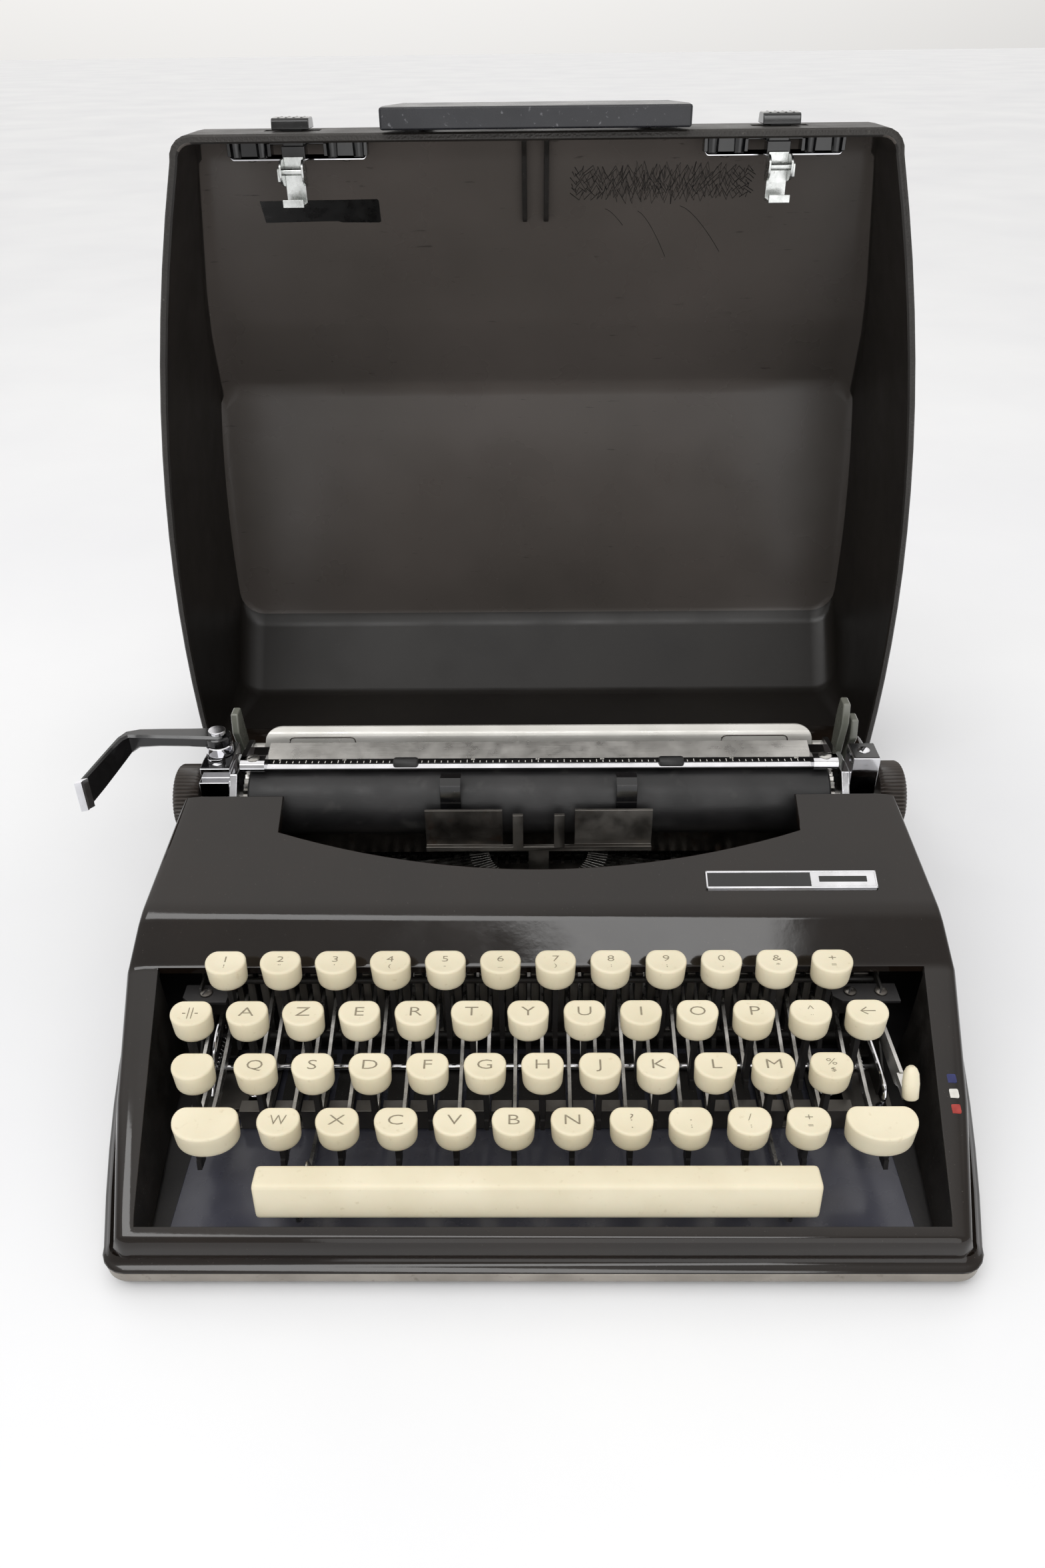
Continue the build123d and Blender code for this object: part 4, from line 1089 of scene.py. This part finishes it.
def add_cap(shape, x, y, z, width=CAP_WIDTH, depth=CAP_DEPTH):
    """A moulded cap with its dished top at z, and the boss under it."""
    outline = cap_outline(width, depth)
    half, back = width / 2, depth / 2

    def ring(inset, level=None, drop=0.0):
        """The outline drawn in by inset, at a level or, without one, drop below the dished top."""
        points = []
        for u, v in outline:
            length = sqrt(u * u + v * v)
            pull = max(0.0, 1 - inset / length)
            if width > WIDE_CAP and inset > 1:
                pull = max(0.0, 1 - inset / back)
            u2, v2 = u * pull, v * pull
            height = level if level is not None else dish_at(u2, v2, half) - drop
            points.append((x + u2, y + v2, z + height))
        return points

    rings = [ring(inset, rise - CAP_HEIGHT) for inset, rise in CAP_FOOT] + [ring(0.14, -3.0)]
    rings += [ring(inset, None, drop) for inset, drop in CAP_SHOULDER]
    shape.rings(rings)
    foot = z - CAP_HEIGHT
    shape.turned([(foot - 2.0, 2.1), (foot - 1.7, 2.5), (foot + 0.5, 3.2)], "z", (x, y), 1, 18)


def add_lever(shape, x, y_front):
    """A key lever from its nose back to the boss round the fulcrum, with a dark pad on the nose."""
    nose = between(LEVER_TOP, y_front)
    top = [(y_front + 0.6, nose - 0.8), (y_front + 1.5, nose)]
    top += [(y, z) for y, z in LEVER_TOP if y > y_front + 3]
    bottom = [(y, z - 4.0) for y, z in reversed(top[1:])] + [(y_front + 0.6, nose - 3.4)]
    boss = ((0, 4.5), (3.2, 3.2), (4.5, 0), (3.2, -3.2), (0, -4.5))
    rear = [(FULCRUM_Y + u, FULCRUM_Z + v) for u, v in boss]
    shape.plate(top + rear + bottom, x - 0.6, x + 0.6, 2)
    pad = [(0, -3.4), (5.2, -4.1), (5.2, 0.5), (0.8, 0.3)]
    shape.plate([(y_front + u, nose + v) for u, v in pad], x - 0.75, x + 0.75, 4)


def add_key(shape, x, row, lever_x=None, width=CAP_WIDTH, depth=CAP_DEPTH, main="", small=""):
    """A cap with its legends, the post under it and its lever, which may stand to one side."""
    lever_x = x if lever_x is None else lever_x
    y, z = row_y(row), row_z(row)
    middle = y + CAP_REAR - depth / 2
    add_cap(shape, x, middle, z, width, depth)
    foot, head = between(LEVER_TOP, y), z - CAP_HEIGHT - 1.0
    post = [(y - 1.9, foot - 3.4), (y + 2.1, foot - 3.2), (y + 1.6, head), (y - 1.6, head)]
    shape.plate(post, lever_x - 0.9, lever_x + 0.9, 4)
    if abs(lever_x - x) > 2:
        x0, x1 = sorted((x - 1.5, lever_x + 0.9))
        shape.block(x0, x1, y - 1.6, y + 1.6, head - 1.2, head, 4)
    add_lever(shape, lever_x, y - 3.5)
    # one legend stands in the middle of the cap, and two stand one above the other
    for text, size, up in ((main, 3.6 if small else 5.3, 1.4 if small else 0.5), (small, 2.3, -1.7)):
        if text:
            points, faces = lettering(text, size, 1.55, size)
            points = [(x + u, middle + v + up, z + dish_at(u, v + up, width / 2) + w) for u, v, w in points]
            shape.add(points, faces, 3)


KEY_LOOKS = ("ivory", "key_boss", "lever_steel", "legend", "pan_dark")
LETTER_ROWS = {1: "azertyuiop", 2: "qsdfghjklm", 3: "wxcvbn"}
NUMBER_SIGNS = ("1!", "2\"", "3'", "4(", "5-", "6_", "7)", "8:", "9;", "0,", "&*", "+=")
SIGN_KEYS = (
    (1, 10, "^", "¨"), (2, 10, "%", "$"), (3, 6, "?", ","),
    (3, 7, ".", ";"), (3, 8, "/", ":"), (3, 9, "+", "="),
)


def make_keys():
    def save(shape, name, body, instead_of=()):
        shape.piece(name, body, "key_plastic", KEY_LOOKS, 0.0, instead_of, 38)

    for row, letters in LETTER_ROWS.items():
        for column, letter in enumerate(letters):
            shape = Shape()
            add_key(shape, key_x(row, column), row, main=letter.upper())
            save(shape, "key_" + letter, "type_key_" + letter, ("type_key_" + letter,))
    for column, signs in enumerate(NUMBER_SIGNS):
        shape = Shape()
        add_key(shape, key_x(0, column), 0, main=signs[0], small=signs[1])
        stands_for = ("number_row_keys",) if column == 0 else ()
        save(shape, f"number_key_{column + 1}", "number_row_keys", stands_for)
    for i, (row, column, main, small) in enumerate(SIGN_KEYS):
        shape = Shape()
        add_key(shape, key_x(row, column), row, main=main, small=small)
        save(shape, f"sign_key_{i + 1}", "sign_keys", ("sign_keys",) if i == 0 else ())

    # the two shift keys, joined by a bar across the back of their levers
    shift = Shape()
    for x, lever_x, width in ((-108.5, -112.5, 21.6), (109.7, 113.0, 23.0)):
        add_key(shift, x, 3, lever_x, width, SHIFT_DEPTH)
        shift.block(lever_x - 0.6, lever_x + 0.6, 198, 202, 15, 27.5, 2)
    shift.block(-114, 114.5, 198, 202, 10, 16, 2)
    save(shift, "shift_key_pair", "shift_keys", ("shift_keys",))
    for name, x, row, lever_x, main in (
        ("shift_lock", -115.0, 2, -116.6, ""), ("margin_release_key", -118.0, 1, -120.0, "-||-"),
        ("backspace_key", 110.0, 1, 108.0, "←"),
    ):
        shape = Shape()
        add_key(shape, x, row, lever_x, main=main)
        save(shape, name + "_cap", name, (name,))


def make_space_bar():
    """The bar with its two arms and the wire bows that guide it."""
    shape = Shape()
    corners = [(17.0, 17.5), (21.4, 17.5), (22.3, 31.6), (13.4, 32.0), (12.1, 17.5), (17.0, 17.5)]
    section = softened(corners, 1.7, 5)[:-1]
    middle_y, middle_z = 17.2, 24.8
    rings = []
    left_end = ((-90, 0.9), (-89.75, 0.4), (-89.3, 0.1), (-88.6, 0.0))
    right_end = ((85.8, 0.0), (86.5, 0.1), (86.95, 0.4), (87.2, 0.9))
    for x, inset in left_end + right_end:
        wide, high = 1 - inset / 5.0, 1 - inset / 7.2
        scaled = [(middle_y + (y - middle_y) * wide, middle_z + (z - middle_z) * high) for y, z in section]
        rings.append([(x, y, z) for y, z in scaled])
    shape.rings(rings)
    for x in (FIRST_KEY_X + KEY_PITCH / 4 * 6.5, FIRST_KEY_X + KEY_PITCH / 4 * 39.5):
        arm = [(14, 19), (18, 19), (20, 12.5), (62, 9.9), (64, 9), (64, 7.4), (62, 6.2), (18, 9.5), (15, 12)]
        shape.plate(arm, x - 0.6, x + 0.6, 1)
        toward = -1 if x > 0 else 1
        side_x = x + 2.4 * toward
        bow = [(side_x, y, z) for y, z in ((21.0, 20), (23.5, 26), (27.5, 26.5), (30.0, 21), (31, 12))]
        bow.append((x + 0.8 * toward, 36, 10.5))
        shape.wire(softened(bow, 4), 0.5, 1)
    looks = ("ivory", "lever_steel")
    shape.piece("space_bar_long", "space_bar", "key_plastic", looks, 0.0, ("space_bar",), 38)


def make_selector():
    """The ribbon colour lever on the right, with its ivory tip."""
    shape = Shape()
    outline = [(50, 34), (56, 30), (104, 30), (112, 22), (116, 26), (112, 31), (100, 36), (54, 38)]
    shape.plate(outline, 119.9, 121.1, 1)
    shape.block(119.0, 122.0, 45.2, 54.0, 34.5, 37.5, 1)
    rings = []
    # how far up the tip, and half its width and its depth there
    tip = ((0.0, 2.0, 1.8), (0.06, 2.6, 2.3), (0.5, 2.75, 2.5),
           (0.8, 2.4, 2.2), (0.94, 1.7, 1.6), (1.0, 0.9, 0.9))
    for share, wide, deep in tip:
        centre_y, centre_z = 43.9 + 4.7 * share, 36.3 + 10.4 * share
        ring = []
        for i in range(20):
            turn = 2 * pi * i / 20
            u, v = cos(turn), sin(turn)
            u, v = (abs(u) ** 0.8) * (1 if u > 0 else -1), (abs(v) ** 0.8) * (1 if v > 0 else -1)
            ring.append((120.9 + wide * u, centre_y + deep * v * 0.9, centre_z - deep * v * 0.42))
        rings.append(ring)
    shape.rings(rings, 0)
    looks = ("ivory", "brushed_alloy")
    shape.piece("selector_tip", "ribbon_selector", "key_plastic", looks, 0.0, ("ribbon_selector",), 40)


make_keys()
make_space_bar()
make_selector()

# ------------------------------------------------------------------ carriage
PLATEN_Y, PLATEN_Z = 168.5, 71.0
PLATEN_HALF = 114.0
INCH = 25.4
SCALE_LEFT = -104.14
SCALE_TENTHS = 82
HUB_X, HUB_Y = -127.0, 176.0


def make_platen():
    """The roller with its toothed end plates, and the two knobs on their shaft."""
    shape = Shape()
    ends = [(0.0, 13.2), (0.3, 14.0), (1.0, 14.5)]
    profile = [(-PLATEN_HALF + a, r) for a, r in ends] + [(PLATEN_HALF - a, r) for a, r in reversed(ends)]
    shape.turned(profile, "x", (PLATEN_Y, PLATEN_Z), 0, 72)
    for side in (-1, 1):
        x0, x1 = across(side, PLATEN_HALF - 0.6, PLATEN_HALF + 2.0)
        shape.turned([(x0, 12.2), (x1 - 0.2, 12.2), (x1, 11.9)], "x", (PLATEN_Y, PLATEN_Z), 1, 60, 0.9)
    looks = ("platen_rubber", "lever_steel")
    shape.piece("platen_roller", "platen", "platen_rubber", looks, 0.0, ("platen",), 35)
    knobs = Shape()
    knobs.turned([(-136, 3.0), (136, 3.0)], "x", (PLATEN_Y, PLATEN_Z), 1, 20)
    for side in (-1, 1):
        face = [(133.6, 9.0), (133.6, 12.6), (134.4, 13.6), (135.2, 14.0), (142.2, 14.0), (143.2, 13.4)]
        face += [(143.8, 12.2), (143.8, 10.4), (143.0, 9.8), (142.8, 6.0), (143.2, 4.0)]
        knobs.turned([(side * a, r) for a, r in face], "x", (PLATEN_Y, PLATEN_Z), 0, 108, 0.7)
    looks = ("knob_plastic", "lever_steel")
    knobs.piece("knob_pair", "platen", "black_plastic", looks, 0.0, ("platen_knobs",), 30)


def make_carriage_frame():
    rounded_copy("carriage_frame", "carriage_body", ("chrome",), 0.35)
    shape = Shape()
    # screws and small plates on the end castings
    for x, y, z, radius, facing, turn in (
        (-126.5, 168, 88.0, 2.4, "z", 0.4), (-117.0, 157.0, 74.0, 2.2, "-y", 0.8),
        (117.0, 157.0, 74.0, 2.2, "-y", 0.3), (126.0, 165.5, 94.0, 2.4, "z", 1.0),
    ):
        shape.screw(x, y, z, radius, facing, 0, 2, turn)
    shape.block(121.5, 131.0, 160.3, 170.7, 93.6, 94.3, 1)
    shape.block(-132.4, -121.4, 164.4, 183.6, 87.6, 88.3, 1)
    # paper fingers in front of the roller and the line strip behind it
    for x in (-34, 34):
        finger = [(152.4, 66), (152.8, 84), (153.5, 86.5), (156.5, 88.2), (160.5, 87.9)]
        finger += [(160.4, 87.1), (157, 87.3), (154.3, 85.8), (153.7, 83.5), (153.3, 66)]
        shape.plate(finger, x - 4, x + 4, 1)
    strip = [(172.0, 86.1), (181.5, 88.3), (181.7, 89.0), (171.8, 86.8)]
    shape.plate(strip, -108, 108, 3)
    for side in (-1, 1):
        shape.block(side * 108, side * 118.2, 173.5, 180.5, 86.8, 87.8, 0)
        shape.plate([(159, 58), (163, 58), (163, 62), (159, 62)], side * 115.0, side * 118.2, 2)
    # feed roller ends behind the roller
    for side in (-1, 1):
        shape.roller(*across(side, 112.2, 117.8), 4.0, (190, 79), (0.5, 0.6), 4, 24)
    looks = ("chrome", "black_gloss", "pan_dark", "brushed_alloy", "silver_cream")
    shape.piece("carriage_fittings", "carriage", "chrome_plate", looks, 0.15)


def make_paper_table():
    """The bent sheet behind the roller, its top corners round, with a framed panel near each end."""
    shape = Shape()
    front = softened([(178.0, 54.5), (184.0, 55.2), (190.2, 87.6), (193.4, 89.6)], 3.0, 4)
    corner = 7.0
    lengths = [0.0]
    for a, b in zip(front, front[1:]):
        lengths.append(lengths[-1] + sqrt((b[0] - a[0]) ** 2 + (b[1] - a[1]) ** 2))
    rings = []
    steps = 40
    for i in range(steps + 1):
        s = lengths[-1] * (1 - ((steps - i) / steps) ** 1.6)
        y = between([(length, point[0]) for length, point in zip(lengths, front)], s)
        z = between([(length, point[1]) for length, point in zip(lengths, front)], s)
        left = max(0.0, s - (lengths[-1] - corner))
        half = 112.0 - (corner - sqrt(max(0.0, corner ** 2 - left ** 2)))
        near, far = (y - 0.5, z + 0.1), (y + 0.6, z - 0.1)
        rings.append([(-half, *near), (half, *near), (half, *far), (-half, *far)])
    shape.rings(rings)
    # framed panels near both ends
    for side in (-1, 1):
        path = []
        for u, v in softened([(0, 0), (26, 0), (26, 12.5), (-1, 12.5), (-1, 0), (0, 0)], 2.0, 3):
            z = 74.0 + v
            path.append((side * (76 + u), between([(p[1], p[0]) for p in front], z) - 0.55, z))
        shape.wire(path, 0.28, 1, 6)
    looks = ("silver_cream", "frame_steel")
    shape.piece("paper_table_sheet", "carriage", "bright_trim", looks, 0.12, ("paper_table",), 40)


def make_bail():
    shape = Shape()
    bar = [(165, 87), (164.2, 87.2), (164, 87.9), (166.4, 88.6), (169.8, 88.6), (170, 87.6), (169, 87)]
    shape.plate(softened(bar + bar[:1], 0.3, 2)[:-1], -107.5, 107.5)
    # the scale: a black strip with a line at every tenth of an inch and a number at every inch
    shape.block(-107.4, 107.4, 166.5, 169.7, 88.4, 88.75, 1)
    for i in range(SCALE_TENTHS + 1):
        x = SCALE_LEFT + INCH / 10 * i
        length = 1.3 if i % 5 else 1.9
        shape.block(x - 0.14, x + 0.14, 166.7, 166.7 + length, 88.6, 88.82, 2)
    for ten in range(SCALE_TENTHS // 10 + 1):
        points, faces = lettering(str(ten * 10), 1.7, 1.0, 9.0, -0.006, 0.1)
        x = SCALE_LEFT + INCH * ten + 2.2
        shape.add([(x + u, 169.0 + v * 0.8 - 0.1, 88.78 + w) for u, v, w in points], faces, 2)
    for side in (-1, 1):
        end = [(167, 86.6), (163.4, 86.6), (162.5, 88), (163.2, 90.4), (165, 91), (169, 91)]
        end += [(170.9, 90.2), (171.5, 88), (170.6, 86.6), (167, 86.6)]
        shape.plate(softened(end, 0.8, 2)[:-1], *across(side, 107, 116.5))
        shape.screw(side * 111.8, 167, 90.7, 2.5, "z", 3, 4, 0.7 if side < 0 else 0.2)
        arm = [(183, 65), (186, 63.8), (189, 65), (189.4, 70), (189, 76), (184, 89), (172, 91)]
        arm += [(166, 91), (166, 88), (180, 86), (183, 78)]
        shape.plate(arm, *across(side, 114.8, 116.8))
    # two small rubber rollers on the bar
    for x in (-52, 52):
        profile = [(x - 5, 1.4), (x - 4.6, 2.3), (x - 4, 2.6), (x + 4, 2.6), (x + 4.6, 2.3), (x + 5, 1.4)]
        shape.turned(profile, "x", (167, 88.1), 5, 24)
    looks = ("chrome", "black_gloss", "white_print", "lever_steel", "pan_dark", "platen_rubber")
    shape.piece("bail_scale", "paper_bail", "chrome_plate", looks, 0.0, ("paper_bail",), 34)


def make_return_lever():
    """The turned hub on the carriage's left end, and the arm that bends forward into a flat blade."""
    hub = Shape()
    hub.turned([(88.3, 4.6), (88.6, 5.3), (92.3, 5.4), (92.7, 4.9)], "z", (HUB_X, HUB_Y), 0, 36)
    tongue = [(HUB_X + u, HUB_Y + v) for u, v in ((-3, 0), (-3, -9.5), (3, -9.5), (3, 0))]
    hub.slab(softened(tongue, 1.6, 3), 88.4, 90.5)
    hub.piece("lever_hub_turned", "lever_hub", "chrome_plate", ("chrome",), 0.15, ("lever_hub",))
    arm = Shape()
    arm.turned([(93.0, 4.8), (93.3, 5.2), (96.0, 5.2), (96.5, 4.7)], "z", (HUB_X, HUB_Y), 0, 36)
    arm.turned([(97.4, 2.2), (97.9, 2.2), (98.2, 1.7)], "z", (HUB_X, HUB_Y), 0, 28)
    # x, y, half thickness, bottom and top, along the arm and then the blade
    stations = [
        (-124.5, 176, 3.4, 93.2, 97.2), (-127, 176, 4.2, 92.6, 97.6), (-138, 176.4, 3.6, 92.4, 97.4),
        (-150, 176.8, 3.3, 92.2, 97.3), (-158.5, 177.0, 3.0, 91.4, 97.2), (-163.0, 176.4, 2.2, 88.6, 97.1),
        (-165.4, 173.2, 1.5, 86.2, 96.8), (-167.2, 167.0, 1.2, 84.8, 96.2), (-169.6, 158.0, 1.1, 83.2, 95.3),
        (-171.8, 150.0, 1.0, 82.0, 94.4), (-172.8, 146.4, 1.0, 81.6, 94.0),
    ]
    rings = []
    for i, (x, y, thick, low, high) in enumerate(stations):
        before, after = stations[max(i - 1, 0)], stations[min(i + 1, len(stations) - 1)]
        along = Vector((after[0] - before[0], after[1] - before[1])).normalized()
        side = Vector((-along.y, along.x))
        soft = min(0.9, thick * 0.6)
        section = [(-thick, low + soft), (-thick + soft, low), (thick - soft, low), (thick, low + soft),
                   (thick, high - soft), (thick - soft, high), (-thick + soft, high), (-thick, high - soft)]
        rings.append([(x + side.x * u, y + side.y * u, z) for u, z in section])
    arm.rings(rings)
    # a bright cap over the end of the blade, square to its last stretch
    tip = []
    side = Vector((0.948, 0.316))
    for (x, y, thick, low, high), (dx, dy) in zip(
        (stations[-2], stations[-1], stations[-1]), ((0.6, -2.4), (0.0, 0.0), (-0.3, -1.2)),
    ):
        wide = thick + 0.25
        section = [(-wide, low - 0.2), (wide, low - 0.2), (wide, high + 0.25), (-wide, high + 0.25)]
        tip.append([(x + dx + side.x * u, y + dy + side.y * u, z) for u, z in section])
    arm.rings(tip, 1)
    looks = ("black_gloss", "chrome")
    arm.piece("return_lever_arm", "return_lever", "black_enamel", looks, 0.0, ("return_lever",), 34)


make_platen()
make_carriage_frame()
make_paper_table()
make_bail()
make_return_lever()
rounded_copy("paper_release_lever", "paper_release_ear", ("ear_enamel",), 0.7)
rounded_copy("carriage_release_lever", "carriage_release_ears", ("ear_enamel",), 0.7)
